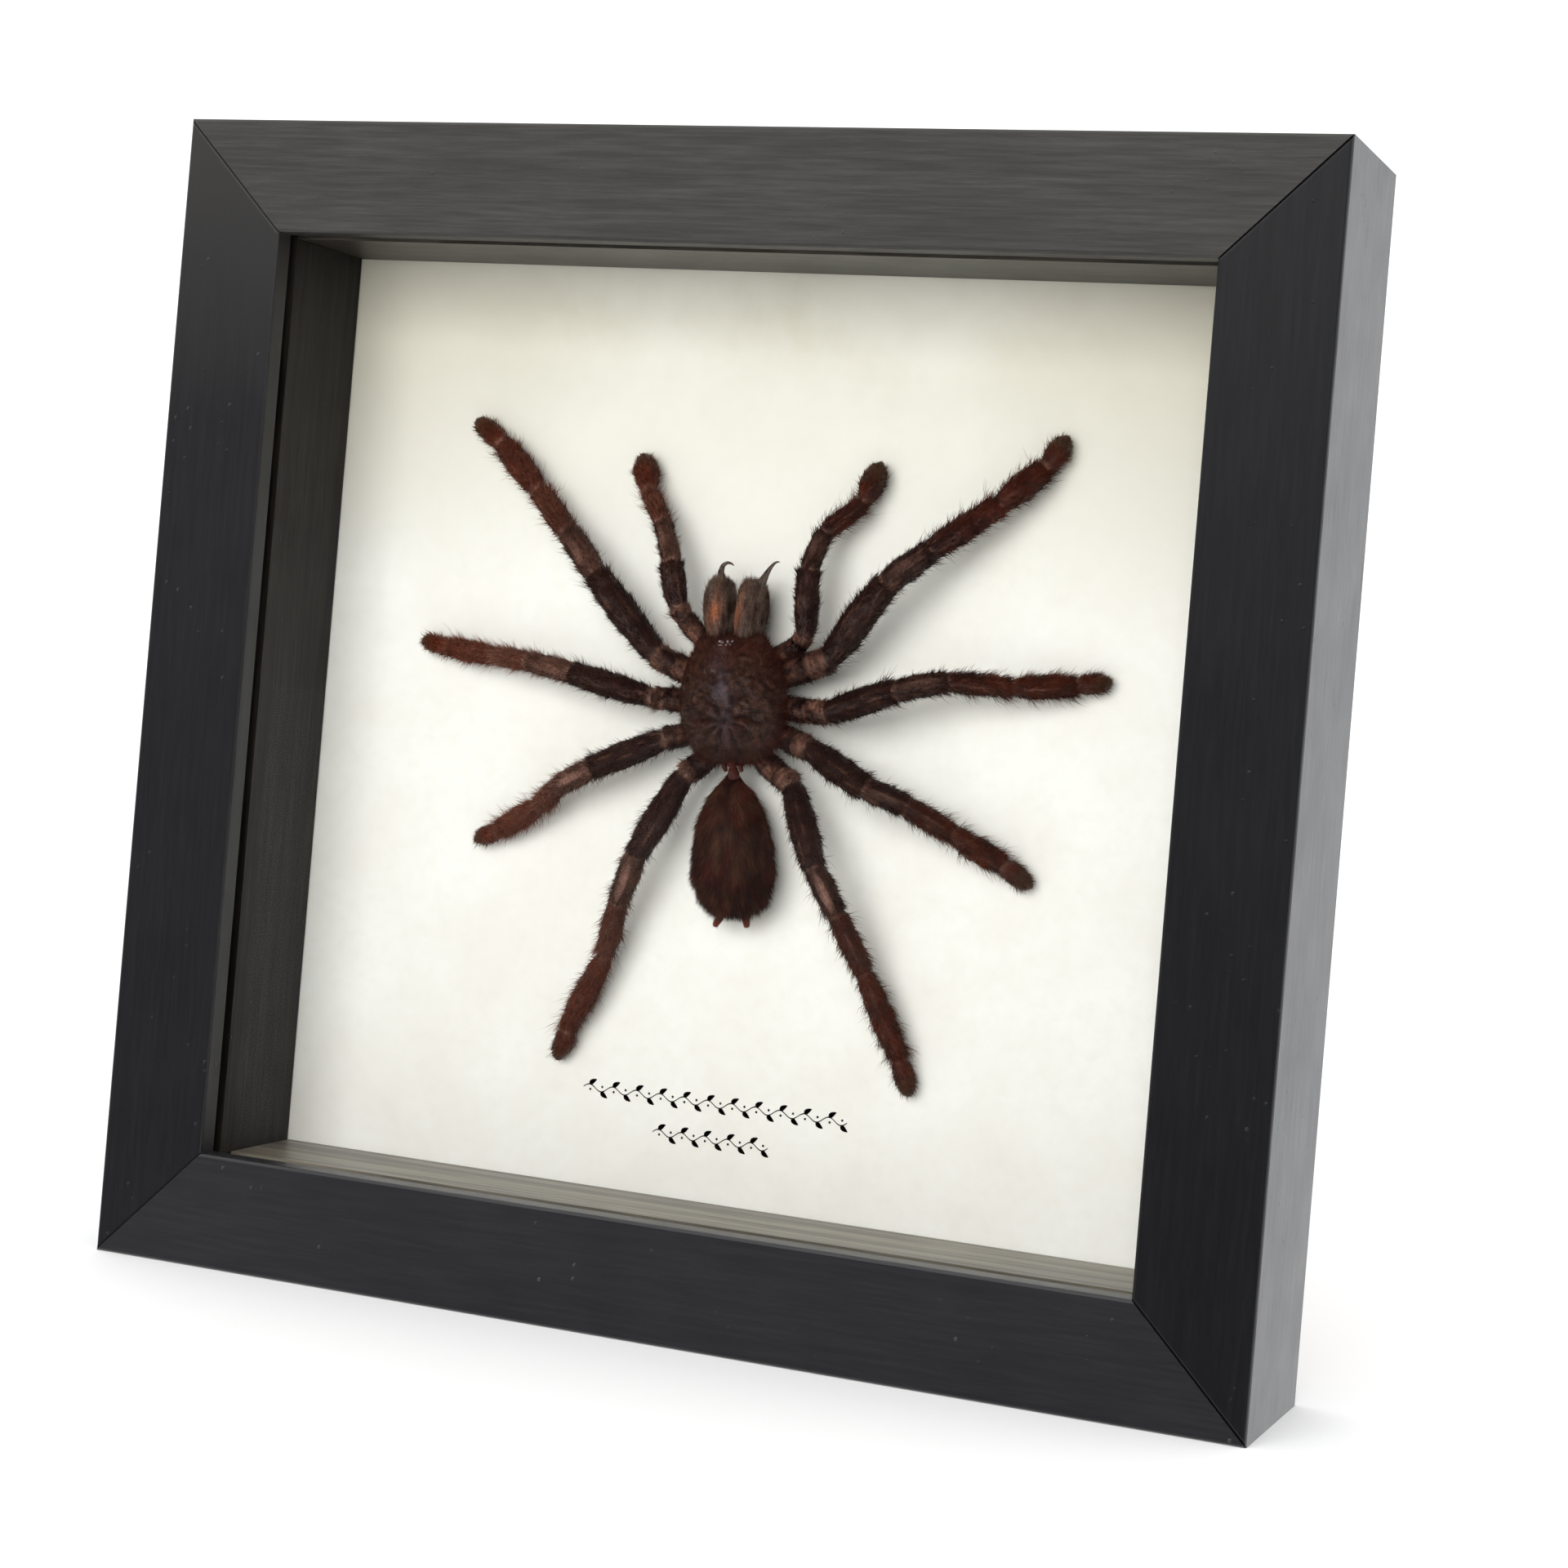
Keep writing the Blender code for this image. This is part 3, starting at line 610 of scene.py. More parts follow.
def hair_needles(roots, draw, tuft, thickness, lift, stray, shine):
    """Three-sided needles on hair roots: vertices, triangles and tints. They curve if the
    thickness is below 0."""
    point, normal, flow, length, tint = roots
    count = len(point)
    curved = thickness < 0
    thickness = abs(thickness)
    length = length * draw.uniform(0.55, 1.25, count)
    # neighbouring hairs clump together, lean the same way and share a tone
    lock = np.sin(point @ (CLUMPS.T / MM) + np.arange(6))
    flow = unit(flow + 0.7 * tuft * lock[:, :3])
    clump = 1.0 + 0.18 * lock[:, 3] * lock[:, 4] + 0.10 * lock[:, 5]
    lean = unit(normal * lift + flow * (1.0 - lift) + draw.normal(0.0, stray, (count, 3)))
    tip_lean = unit(lean + flow * 0.35 - normal * 0.15 + draw.normal(0.0, stray * 0.6, (count, 3)))
    reach = (length * (1.0 + tuft * lock[:, 5]))[:, None] * MM
    middle = point + lean * reach * 0.5
    tip = middle + tip_lean * reach * 0.5
    side = unit(np.cross(lean, draw.normal(0.0, 1.0, (count, 3))))
    other = np.cross(lean, side)
    width = thickness * MM * draw.uniform(0.7, 1.2, count)[:, None]
    foot = point - lean * width
    centres = ((foot, 1.0), (middle, 0.75)) if curved else ((foot, 1.0),)
    rings = []
    for centre, share in centres:
        for turn in THIRDS_OF_TURN:
            rings.append(centre + (side * math.cos(turn) + other * math.sin(turn)) * width * share)
    verts = np.stack([*rings, tip], axis=1)
    # no hair goes through the card under the spider
    verts[:, :, 1] = np.minimum(verts[:, :, 1], CARD_FRONT - CARD_GAP)
    pattern = [(2, 1, 0)]
    if curved:
        pattern += [(0, 1, 4), (0, 4, 3), (1, 2, 5), (1, 5, 4), (2, 0, 3), (2, 3, 5)]
    last = len(rings) - 3
    pattern += [(last, last + 1, last + 3), (last + 1, last + 2, last + 3), (last + 2, last, last + 3)]
    faces = np.array(pattern)[None, :, :] + verts.shape[1] * np.arange(count)[:, None, None]
    tone = tint * (clump * draw.uniform(0.5, 1.6, count))[:, None]
    # painted light along each hair: the root darker, a painted shade within the fur, and the tip
    # lighter by shine, a painted sheen
    tones = [tone * 0.7] * 3 + ([tone] * 3 if curved else []) + [tone * (1.0 + shine)]
    tints = np.stack(tones, axis=1)
    return verts.reshape(-1, 3), faces.reshape(-1, 3), tints.reshape(-1, 3)


def grow_hair(name, skin, material, slot, seed, tuft, coats):
    """One joined mesh of all the hairs on a skin, drawn into tufts. Each coat is
    (count, length scale, thickness, lift, stray, shine), and a thickness below 0 curves."""
    draw = np.random.default_rng(seed)
    verts, faces, tints, start = [], [], [], 0
    for count, scale, thickness, lift, stray, shine in coats:
        lengths = np.asarray(skin.coat) * scale
        roots = hair_roots(skin, count, draw, lengths)
        v, f, t = hair_needles(roots, draw, tuft, thickness, lift, stray, shine)
        verts.append(v)
        faces.append(f + start)
        tints.append(t)
        start += len(v)
    mesh = bpy.data.meshes.new(name)
    mesh.from_pydata(np.concatenate(verts).tolist(), [], np.concatenate(faces).tolist())
    paint(mesh, np.concatenate(tints))
    mesh.shade_smooth()
    return keep_piece(add_object(name, mesh, material), slot)


# Limbs -----------------------------------------------------------------------------------

class Route:
    """A limb's centre line with its corners eased, in the spider's millimetres."""

    def __init__(self, joints, ease=3.2, step=0.2):
        joints = np.asarray(joints, dtype=float)
        spans = np.linalg.norm(np.diff(joints, axis=0), axis=1)
        self.knots = np.concatenate([[0.0], np.cumsum(spans)])
        self.length = self.knots[-1]
        self.along = np.arange(0.0, self.length + step, step)
        raw = np.stack([np.interp(self.along, self.knots, line) for line in joints.T], axis=1)
        reach = int(ease / step)
        window = np.hanning(2 * reach + 1)
        window /= window.sum()
        steps = np.arange(reach, 0, -1)[:, None]
        before = raw[0] - (raw[1] - raw[0]) * steps
        after = raw[-1] + (raw[-1] - raw[-2]) * steps[::-1]
        padded = np.concatenate([before, raw, after])
        eased = [np.convolve(line, window, "valid") for line in padded.T]
        self.points = np.stack(eased, axis=1)
        self.ways = unit(np.gradient(self.points, axis=0))

    def at(self, distance):
        point = Vector([np.interp(distance, self.along, self.points[:, a]) for a in range(3)])
        way = Vector([np.interp(distance, self.along, self.ways[:, a]) for a in range(3)]).normalized()
        up = (Vector((0.0, 0.0, 1.0)) - way * way.z).normalized()
        return point, way, way.cross(up), up


# A segment's hide goes from the first colour towards the second: how far it has gone at its
# near end, how much is added up to its far end, by the limb's paleness, and by the mottling
SEGMENT_TONES = {
    "coxa": (TAN, DARK, 0.58, 0.0, 0.0, 2.6),
    "trochanter": (PALE_FUZZ, DARK, 0.62, 0.0, 0.0, 1.8),
    "femur": (DARK, BROWN, 0.05, 0.5, 0.0, 1.0),
    "patella": (DARK, BROWN, 0.35, 0.0, 1.0, 1.0),
    "tibia": (DARK, RUST, 0.18, 0.3, 0.5, 1.0),
    "metatarsus": (DARK, RUST, 0.42, 0.0, 0.8, 1.0),
    "tarsus": (DARK, RUST, 0.38, 0.0, 0.8, 1.0),
}


def segment_tint(kind, t, paleness, mottle):
    """Colour of the hide on a segment, before its joints and stripes are laid over it."""
    first, second, near, along, with_paleness, with_mottle = SEGMENT_TONES[kind]
    share = near + along * t + with_paleness * paleness + with_mottle * mottle
    tint = blend(first, second, share)
    if kind == "patella":
        return blend(tint, PALE_FUZZ, paleness * 0.40 + mottle * 0.5)
    if kind == "tibia":
        return blend(tint, PALE_FUZZ, paleness * (0.25 + 0.5 * t))
    if kind == "metatarsus":
        return blend(tint, PALE_FUZZ, paleness * 0.25)
    if kind == "tarsus":
        return blend(tint, TIP, (t - 0.30) * 1.3)
    return tint


# Dry furrows along a segment: where each lies, as an angle from its top, and its width
LIMB_FURROWS = ((-0.62, 0.20), (0.0, 0.15), (0.65, 0.20), (1.5, 0.3), (-1.5, 0.3))
# Thin bare lines between them
PALE_LINES = ((0.33, 0.075), (-0.30, 0.075), (-0.78, 0.07))
# Length over which a limb's tip is rounded, and over which its coat thins out, in millimetres
LEG_CAP, PALP_CAP, THIN_TIP = 3.2, 3.6, 2.6


def add_furrows(kind, t, top, wave, patchy, scale, coat, tint):
    """Long dry furrows, with thin bare lines between them along the top."""
    inner = min(1.0, t / 0.12, (1.0 - t) / 0.12)
    depth = 0.05 if kind in ("femur", "patella") else 0.03
    for furrow, width in LIMB_FURROWS:
        scale -= depth * inner * bell(angle_gap(top, furrow + 0.25 * wave), width)
    line = max(bell(top - at - 0.18 * wave, width) for at, width in PALE_LINES) * inner
    strength = 0.06 if kind == "femur" else 0.12
    tint = blend(tint, PALE_FUZZ, line * (strength + 0.9 * patchy))
    return scale, coat * (1.0 - 0.6 * line * strength), tint


def add_hollow(t, top, hollow, wave, scale, coat, tint):
    """The caved-in top of a patella, bare and with a raised edge."""
    rim = math.hypot((t - 0.52) / 0.38, (top - 0.10) / 0.40)
    dent = max(0.0, 1.0 - rim * rim) * hollow
    edge = bell(rim - 1.0, 0.16) * hollow
    bare = 0.9 * dent ** 0.5
    tint = blend(tint, MEMBRANE, (bare + 0.5 * edge) * (0.7 + 0.6 * wave))
    return scale + (0.03 * edge - 0.11 * dent), coat * (1.0 - bare), tint


def limb_form(joints, segments, look, seed):
    """A function of share along and angle round a limb, for Skin.lay."""
    girth, paleness, hollow = look
    route = Route(joints)
    first, second = route.knots[1], route.knots[2]
    ends = [0.0, first + (second - first) * 0.5, *route.knots[2:]]
    cap = (LEG_CAP if segments is LEG_SEGMENTS else PALP_CAP) * girth

    def place(share, angle):
        distance = share * route.length
        index = max(i for i, start in enumerate(ends[:-1]) if distance >= start - 1e-9)
        kind, radii, step, coat = segments[index]
        start, end = ends[index], ends[index + 1]
        t = (distance - start) / (end - start)
        near, mid, far = radii
        radius = near * (1 - t) * (1 - 2 * t) + 4 * mid * t * (1 - t) + far * t * (2 * t - 1)
        radius *= girth
        from_start, to_end = distance - start, end - distance
        point, way, across, up = route.at(distance)
        ring = (math.cos(angle), math.sin(angle))
        wave = drift(distance * 0.35, ring[0] * 0.9, ring[1] * 0.9 + seed)
        fine = drift(distance * 1.3 + 40.0, ring[0] * 2.2, ring[1] * 2.2 + seed)
        top = angle_gap(angle, RIGHT_ANGLE)
        above = max(ring[1], 0.0)
        tint = segment_tint(kind, t, paleness, 0.45 * wave + 0.25 * fine)
        scale = 1.0 + 0.07 * wave + 0.03 * fine
        # the far end flares a little, and the next segment starts narrow inside it
        if index + 1 < len(segments):
            following = segments[index + 1][2]
            scale += 0.45 * following * bell(to_end - 0.5, 0.6)
            scale -= following * bell(to_end, 0.22)
        if index > 1:
            scale -= step * bell(from_start, 0.55)
            soft = bell(from_start - 0.15, 0.45) * (0.3 + 0.7 * above)
            bare = 0.75 if kind == "tarsus" else 0.25
            tint = blend(tint, MEMBRANE, soft * (bare + 0.5 * paleness + 0.9 * fine))
            coat *= 1.0 - 0.6 * min(soft, 1.0)
        if kind in ("femur", "patella", "tibia", "metatarsus"):
            patchy = drift(distance * 0.5 + 9.0, seed, 2.0 * top)
            scale, coat, tint = add_furrows(kind, t, top, wave, patchy, scale, coat, tint)
        if kind == "patella":
            scale, coat, tint = add_hollow(t, top, hollow, wave, scale, coat, tint)
        if kind == "coxa":
            # painted shade: the coxa darkens away from its top towards its lower side; its far end
            # darkens at the joint
            tint = blend(DARK, tint, 0.1 + 0.9 * above ** 2.5) * (1.0 - 0.75 * bell(to_end, 0.4))
            tint = tint * (1.0 - 0.6 * bell(angle_gap(top, 0.5 * wave), 0.12))
        if kind == "trochanter":
            wrinkle = 0.5 + 0.5 * math.sin(distance * 5.2 + 5.0 * wave + 3.0 * fine)
            scale -= 0.035 * wrinkle
            # painted light and shade on the wrinkles: lighter on their ridges, darker in their grooves
            tint = blend(tint * 1.15, DARK, 0.55 * wrinkle)
            tint = tint * (1.0 - 0.6 * bell(from_start, 0.3))
        # tufts stand out where each segment ends
        coat *= 1.0 + 0.5 * bell(to_end - 0.9, 0.8) + 0.4 * fine
        if index == 0:
            radius *= math.sqrt(max(0.0, 1.0 - max(0.0, 1.0 - distance) ** 2))
        if index == len(segments) - 1:
            coat *= 0.25 + 0.75 * min(1.0, to_end / THIN_TIP)
            radius *= math.sqrt(max(0.0, 1.0 - max(0.0, 1.0 - to_end / cap) ** 2))
        reach = radius * scale
        spot = point + across * (ring[0] * reach) + up * (ring[1] * reach)
        spot.z = max(spot.z, 0.05)
        return spot, tuple(way), coat, tint

    return place


def make_limb(name, joints, segments, hide, hair, seed):
    """One limb's hide, its close hair, and its longer hairs, bristles and fringe."""
    form = limb_form(joints, segments, LOOKS[name], seed * 3.7)
    skin = make_skin(name, 44, 290, form, hide, "leg_hide", name)
    full = 8000 if name.startswith("leg") else 5000
    # the left limbs carry paler long hairs, with a stronger painted sheen at their tips, and fewer
    # dark bristles
    bristles, long_shine = (200, 2.2) if name.endswith("left") else (500, 0.5)
    coats = (
        (full, 1.15, 0.055, 0.36, 0.22, 0.45),
        (3 * full // 10, 1.55, -0.046, 0.50, 0.20, long_shine),
        (bristles, 2.0, -0.048, 0.50, 0.14, 0.0),
        (full // 8, 2.5, -0.034, 0.60, 0.20, 1.5),
    )
    grow_hair(name + "_hair", skin, hair, "leg_hide", 100 + seed, 0.28, coats)


# Body ------------------------------------------------------------------------------------

# Where the front of the body and the abdomen lie on the card, and how far each is turned
BODY_CENTRE, BODY_TURN = (0.35, 0.0), 5.5
ABDOMEN_CENTRE, ABDOMEN_TURN = (1.65, -23.4), 6.0
# The pit in the carapace's middle, and the directions of the furrows that radiate from it
FOVEA = -3.8
SHIELD_FURROWS = (0.95, 2.19, 0.15, 2.99, -0.55, -2.59, -1.2, -1.94)
# Heights of the carapace's rim and of its dome above that
RIM, RISE = 7.5, 5.0


def turned(x, y, centre, degrees):
    """A place on a piece, turned and moved to where the piece lies on the card."""
    turn = math.radians(degrees)
    return (centre[0] + x * math.cos(turn) - y * math.sin(turn),
            centre[1] + x * math.sin(turn) + y * math.cos(turn))


def outline_reach(stations):
    """How far a symmetrical outline lies from its middle, as a function of direction."""
    count = len(stations)
    fine = np.linspace(0, count - 1, 500)
    along, across = (np.interp(fine, np.arange(count), row) for row in zip(*stations))
    angles = np.concatenate([np.arctan2(along, across), np.arctan2(along, -across)]) % FULL_TURN
    spans = np.tile(np.hypot(along, across), 2)
    order = np.argsort(angles)
    even = np.linspace(0, FULL_TURN, 720, endpoint=False)
    reach = np.interp(even, angles[order], spans[order], period=FULL_TURN)
    # the outline's corners are eased over a few degrees
    half = 15
    window = np.hanning(2 * half + 1) / np.hanning(2 * half + 1).sum()
    reach = np.convolve(np.concatenate([reach[-half:], reach, reach[:half]]), window, "valid")
    return lambda angle: float(np.interp(angle % FULL_TURN, even, reach, period=FULL_TURN))


def carapace_tint(x, y, spread, wave, fine, grain):
    """Mottled red-brown with golden down, a painted slate sheen along the middle and painted shade in
    the fovea.
    """
    base = blend(BROWN, WINE, 0.30 + 1.1 * wave)
    base = blend(base, GOLD, 0.10 + 0.55 * grain - 0.10 * bell(x, 3.0))
    base = blend(base, DARK, 0.44 + 1.1 * fine)
    sheen = bell(x + 0.4 + 0.08 * y, 1.6) * bell(y - 0.5, 6.0) * (0.6 + 0.9 * wave)
    base = blend(base, RUST, 0.15 * bell(y - 8.0, 2.5))
    base = blend(base, SLATE, sheen * 0.6)
    # painted shade in the fovea's pit
    base = base * (1.0 - 0.65 * bell(x, 1.3) * bell(y - FOVEA, 0.5))
    return blend(base, WINE, 0.7 * spread ** 14), sheen


def shield_top(x, y, spread, wave, fine, grain):
    """Height of the carapace's top, and how deep in a furrow the place lies, from 0 to 1."""
    height = RIM + RISE * (1.0 - spread ** 2.6) ** 0.75
    height += (0.45 * wave + 0.30 * fine + 0.07 * grain) * (1.0 - spread ** 6)
    from_fovea = math.hypot(x, y - FOVEA)
    round_fovea = math.atan2(y - FOVEA, x)
    # the head part stands a little higher
    height += 0.5 * bell(x, 4.2) * blend(0.0, 1.0, (y + 1.0) / 4.0)
    fade = min(1.0, from_fovea / 1.5) * bell(from_fovea - 3.0, 4.0) * (1.0 - spread ** 8)
    furrowed = 0.0
    for furrow in SHIELD_FURROWS:
        furrowed = max(furrowed, fade * bell(angle_gap(round_fovea, furrow + 0.3 * wave), 0.13))
    height -= 0.85 * furrowed
    height -= 1.0 * bell(x, 1.2) * bell(y - FOVEA, 0.45)
    # the mound that the eyes stand on
    height += 1.1 * bell(x, 1.3) * bell(y - 8.8, 0.9)
    return height, furrowed


def carapace_form():
    """Domed shield over a narrow sternum, with a fovea, radiating furrows and a thin rim."""
    reach_at = outline_reach(CARAPACE_OUTLINE)

    def place(share, angle):
        around = math.sin(share * math.pi)
        if share <= 0.5:
            spread = around ** 0.85
            reach = reach_at(angle)
            x = spread * reach * math.cos(angle)
            y = spread * reach * math.sin(angle)
            wave = drift(x * 0.35, y * 0.35, 3.0)
            fine = drift(x * 1.1, y * 1.1, 9.0)
            grain = drift(x * 2.6, y * 2.6, 15.0)
            height, furrowed = shield_top(x, y, spread, wave, fine, grain)
            tint, sheen = carapace_tint(x, y, spread, wave, fine, grain)
            # painted shade in the furrows
            tint = tint * (1.0 - 0.45 * furrowed)
            coat = 0.55 * (1.0 - 0.8 * min(sheen, 1.0)) + 0.4 * spread ** 12
            coat *= 1.0 - 0.9 * bell(x, 1.3) * bell(y - 9.0, 0.9)
            flow = Vector((x, y - FOVEA, 0.0)).normalized()
            flow += Vector((0.0, 0.9 if y > 2 else -0.4, -0.25))
        else:
            depth = -math.cos(share * math.pi)
            x = around ** 0.9 * math.cos(angle) * 4.2
            y = around ** 0.9 * math.sin(angle) * 8.4
            height = 7.1 - 5.9 * depth
            tint, coat = BROWN * 0.7, 0.3
            flow = Vector((0.0, -1.0, 0.0))
        x, y = turned(x, y, BODY_CENTRE, BODY_TURN)
        return (x, y, height), tuple(flow.normalized()), coat, tint

    return place


def abdomen_form():
    """Egg of dark velvet, fuller behind, shrunken a little along its back."""
    def place(share, angle):
        forward = math.cos(share * math.pi)
        around = math.sin(share * math.pi)
        around = around ** (0.86 if forward < 0 else 0.86 + 1.15 * forward)
        slim = 1.0 - 0.18 * forward
        x = around * math.cos(angle) * 6.45 * slim
        up = around * math.sin(angle) * 5.3 * min(slim, 1.0)
        y = 11.9 * (forward - 0.16 * around * around)
        wave = drift(x * 0.3, y * 0.3, up * 0.3 + 5.0)
        fine = drift(x * 1.6, y * 0.45, up * 1.6 + 25.0)
        swell = 1.0 + 0.05 * wave + 0.02 * fine
        front = blend(0.0, 1.0, (forward - 0.25) / 0.6)
        lowered = 0.0
        if up > 0:
            lowered = 1.5 * bell(x, 1.3) * front + 0.25 * bell(y + 6.5 + 0.05 * x * x, 0.6)
        x *= swell
        up = up * swell - lowered
        back = blend(DARK, WINE, 0.40 + 0.6 * wave + 0.4 * fine)
        tint = blend(back, RUST, 0.05 + 0.22 * front + 0.2 * fine)
        down = drift(x * 0.9, y * 0.2, up * 0.9 + 60.0)
        tint = blend(tint, GOLD, 0.07 + 0.35 * down)
        tint = tint * (1.0 - 0.75 * front * bell(x, 1.2))
        coat = 1.3 + 0.6 * front + 0.35 * max(0.0, -forward - 0.6)
        flow = Vector((0.10 * x + 0.25 * x * front, -1.0, -0.05 + 0.1 * front))
        x, y = turned(x, y, ABDOMEN_CENTRE, ABDOMEN_TURN)
        return (x, y, max(up + 5.9, 0.4)), tuple(flow.normalized()), coat, tint

    return place


def chelicera_form(centre, mirror, stripe_at, inner_at):
    """A blunt jaw, fuller towards its front, with a bare orange stripe, a line of painted shade along
    the side that faces the other jaw, and painted shade at its rear end.
    """
    def place(share, angle):
        bare = math.cos(share * math.pi)
        forward = math.copysign(abs(bare) ** 0.85, bare)
        around = math.sin(share * math.pi) ** 0.58
        outward = mirror * math.cos(angle)
        full = 1.0 + 0.10 * bell(forward - 0.15, 0.6) * max(outward, 0.0)
        x = around * math.cos(angle) * 2.55 * full
        up = around * math.sin(angle) * 3.2
        y = forward * 5.2
        wave = drift(x * 0.6, y * 0.3, centre[0])
        fine = drift(x * 2.4, y * 0.5, centre[0] + 8.0)
        stripe = bell(angle_gap(angle, stripe_at) + 0.06 * y, 0.42) * bell(forward + 0.05, 0.72)
        shade_line = bell(angle_gap(angle, inner_at), 0.14) * bell(forward + 0.1, 0.8)
        grey = blend(BROWN, JAW_GREY, 0.65 + 0.35 * forward + 1.3 * fine)
        tint = blend(grey, ORANGE, stripe * (0.65 + 0.6 * wave + 0.8 * fine))
        # painted shade: along the line that faces the other jaw, and at the rear end where the jaw
        # goes under the carapace
        tint = tint * (1.0 - 0.8 * shade_line) * (1.0 - 0.5 * bell(forward + 1.0, 0.3))
        coat = 0.8 * (1.0 - 0.9 * stripe) * (1.0 + 0.6 * max(forward - 0.5, 0.0))
        scale = 1.0 - 0.06 * shade_line + 0.03 * wave
        x, y = turned(x * scale, y, centre[:2], -3.0 * mirror)
        return (x, y, up * scale + centre[2]), (0.0, 0.998, 0.05), coat, tint

    return place


def tube_form(points, sizes, tint, coat, curl=0.0):
    """A tapering tube through points, its ends rounded."""
    route = Route(points, ease=0.5, step=0.05)

    def place(share, angle):
        distance = share * route.length
        point, way, across, up = route.at(distance)
        size = np.interp(share, np.linspace(0.0, 1.0, len(sizes)), sizes)
        size *= min(1.0, math.sqrt(max(0.0, min(share, 1.0 - share)) * 14.0))
        ring = 1.0 - curl * bell(share - 0.45, 0.04)
        spot = point + (across * math.cos(angle) + up * math.sin(angle)) * (size * ring)
        return spot, tuple(way), coat, tint * (0.8 + 0.4 * share)

    return place


def make_body(hide, velvet, hair):
    """Carapace, abdomen and jaws, each with its hair."""
    shield = make_skin("cephalothorax", 128, 96, carapace_form(), hide, "carapace",
                       "cephalothorax")
    grow_hair("cephalothorax_hair", shield, hair, "carapace", 11, 0.15, (
        (17000, 0.95, 0.036, 0.18, 0.14, 0.5),
        (500, 2.2, -0.036, 0.40, 0.25, 0.5),
    ))
    belly = make_skin("abdomen", 80, 80, abdomen_form(), velvet, "abdomen_hide", "abdomen")
    grow_hair("abdomen_hair", belly, hair, "abdomen_hide", 12, 0.10, (
        (20000, 1.15, 0.055, 0.17, 0.10, 0.6),
        (1400, 1.35, -0.045, 0.28, 0.12, 0.7),
    ))
    jaws = (
        ("left", (-3.62, 14.2, 6.7), -1.0, 1.45, 0.55, 13),
        ("right", (1.80, 14.2, 6.7), 1.0, 2.15, 2.85, 14),
    )
    for side, centre, mirror, stripe_at, inner_at, seed in jaws:
        name = "chelicera_" + side
        form = chelicera_form(centre, mirror, stripe_at, inner_at)
        jaw = make_skin(name, 48, 56, form, hide, "jaw_hide", name)
        grow_hair(name + "_hair", jaw, hair, "jaw_hide", seed, 0.15, (
            (7000, 1.0, 0.036, 0.20, 0.12, 0.6),
            (300, 1.6, -0.034, 0.4, 0.2, 0.4),
        ))


def make_fangs(horn):
    """Slender curved fangs, swung forward and hooked to the specimen's right."""
    fangs = {
        "fang_left": ((-3.5, 18.0, 6.8), (-3.75, 19.3, 7.0), (-4.0, 20.7, 7.1), (-3.7, 21.8, 7.2),
                      (-2.9, 22.35, 7.2), (-2.1, 22.2, 7.2), (-1.6, 21.8, 7.2)),
        "fang_right": ((2.9, 17.9, 6.8), (3.4, 19.4, 7.0), (4.2, 21.0, 7.1), (4.9, 22.1, 7.2),
                       (5.5, 22.8, 7.2), (6.1, 23.1, 7.2), (6.5, 22.9, 7.2)),
    }
    radii = (1.05, 0.92, 0.68, 0.48, 0.34, 0.22, 0.09)
    for name, points in fangs.items():
        make_skin(name, 16, 56, tube_form(points, radii, HORN, 0.0), horn, "fang_horn", name)


def make_spinnerets(velvet, hair):
    """Two short jointed fingers behind the abdomen."""
    rows = (
        ("spinneret_left", ((1.3, -33.6, 4.9), (0.5, -35.6, 4.7), (-1.0, -38.1, 4.4)), 21),
        ("spinneret_right", ((4.3, -33.2, 4.9), (4.5, -35.4, 4.7), (4.9, -37.7, 4.4)), 22),
    )
    for name, points, seed in rows:
        form = tube_form(points, (0.6, 0.72, 0.62, 0.6, 0.45), FINGER_RED, 0.45, curl=0.25)
        finger = make_skin(name, 16, 40, form, velvet, "abdomen_hide", name)
        coats = ((260, 1.0, 0.025, 0.3, 0.15, 0.3),)
        grow_hair(name + "_hair", finger, hair, "abdomen_hide", seed, 0.1, coats)


def make_eyes(lens):
    """Eight small eyes in two rows on their mound."""
    form = bmesh.new()
    spots = ((-0.50, 9.22, 0.27), (0.50, 9.22, 0.27), (-0.46, 8.68, 0.20), (0.46, 8.68, 0.20),
             (-1.12, 9.30, 0.23), (1.12, 9.30, 0.23), (-0.98, 8.72, 0.21), (0.98, 8.72, 0.21))
    for x, y, size in spots:
        made = bmesh.ops.create_uvsphere(form, u_segments=14, v_segments=10, radius=size * MM)
        height = 11.75 - 0.50 * abs(x) - 1.0 * (y - 8.75)
        x, y = turned(x, y, BODY_CENTRE, BODY_TURN)
        bmesh.ops.translate(form, verts=made["verts"], vec=Vector(on_card((x, y, height))))
    mesh = mesh_of(form, "eyes")
    mesh.shade_smooth()
    keep_piece(add_object("eyes", mesh, lens), "fang_horn")


def make_pedicel(hide):
    """The waist between carapace and abdomen, ringed and glossy."""
    points = ((0.9, -9.6, 7.2), (1.2, -11.0, 7.7), (1.5, -13.4, 7.0))
    form = tube_form(points, (0.8, 1.0, 0.75, 1.0, 0.8), WAIST_RED, 0.0, curl=0.35)
    make_skin("pedicel", 24, 40, form, hide, "carapace")
    for number, (x, y, height) in enumerate(((-0.2, -11.3, 7.4), (2.6, -11.1, 7.4))):
        ends = ((x - 0.3, y + 0.8, height), (x, y, height + 0.3), (x + 0.2, y - 0.9, height - 0.2))
        form = tube_form(ends, (0.3, 0.45, 0.3), WAIST_RED, 0.0)
        make_skin("pedicel_plate_%d" % (number + 1), 16, 16, form, hide, "carapace")


# Where a caption would be: two plain leaf ornaments -------------------------------------------

INK_LIFT = 0.03
INK_THICKNESS = 0.02 * MM
# The swing of a vine's stem to either side, its half width, and how steeply its leaves stand
STEM_SWING, STEM_HALF_WIDTH, LEAF_SLANT = 0.55, 0.09, math.radians(36.0)


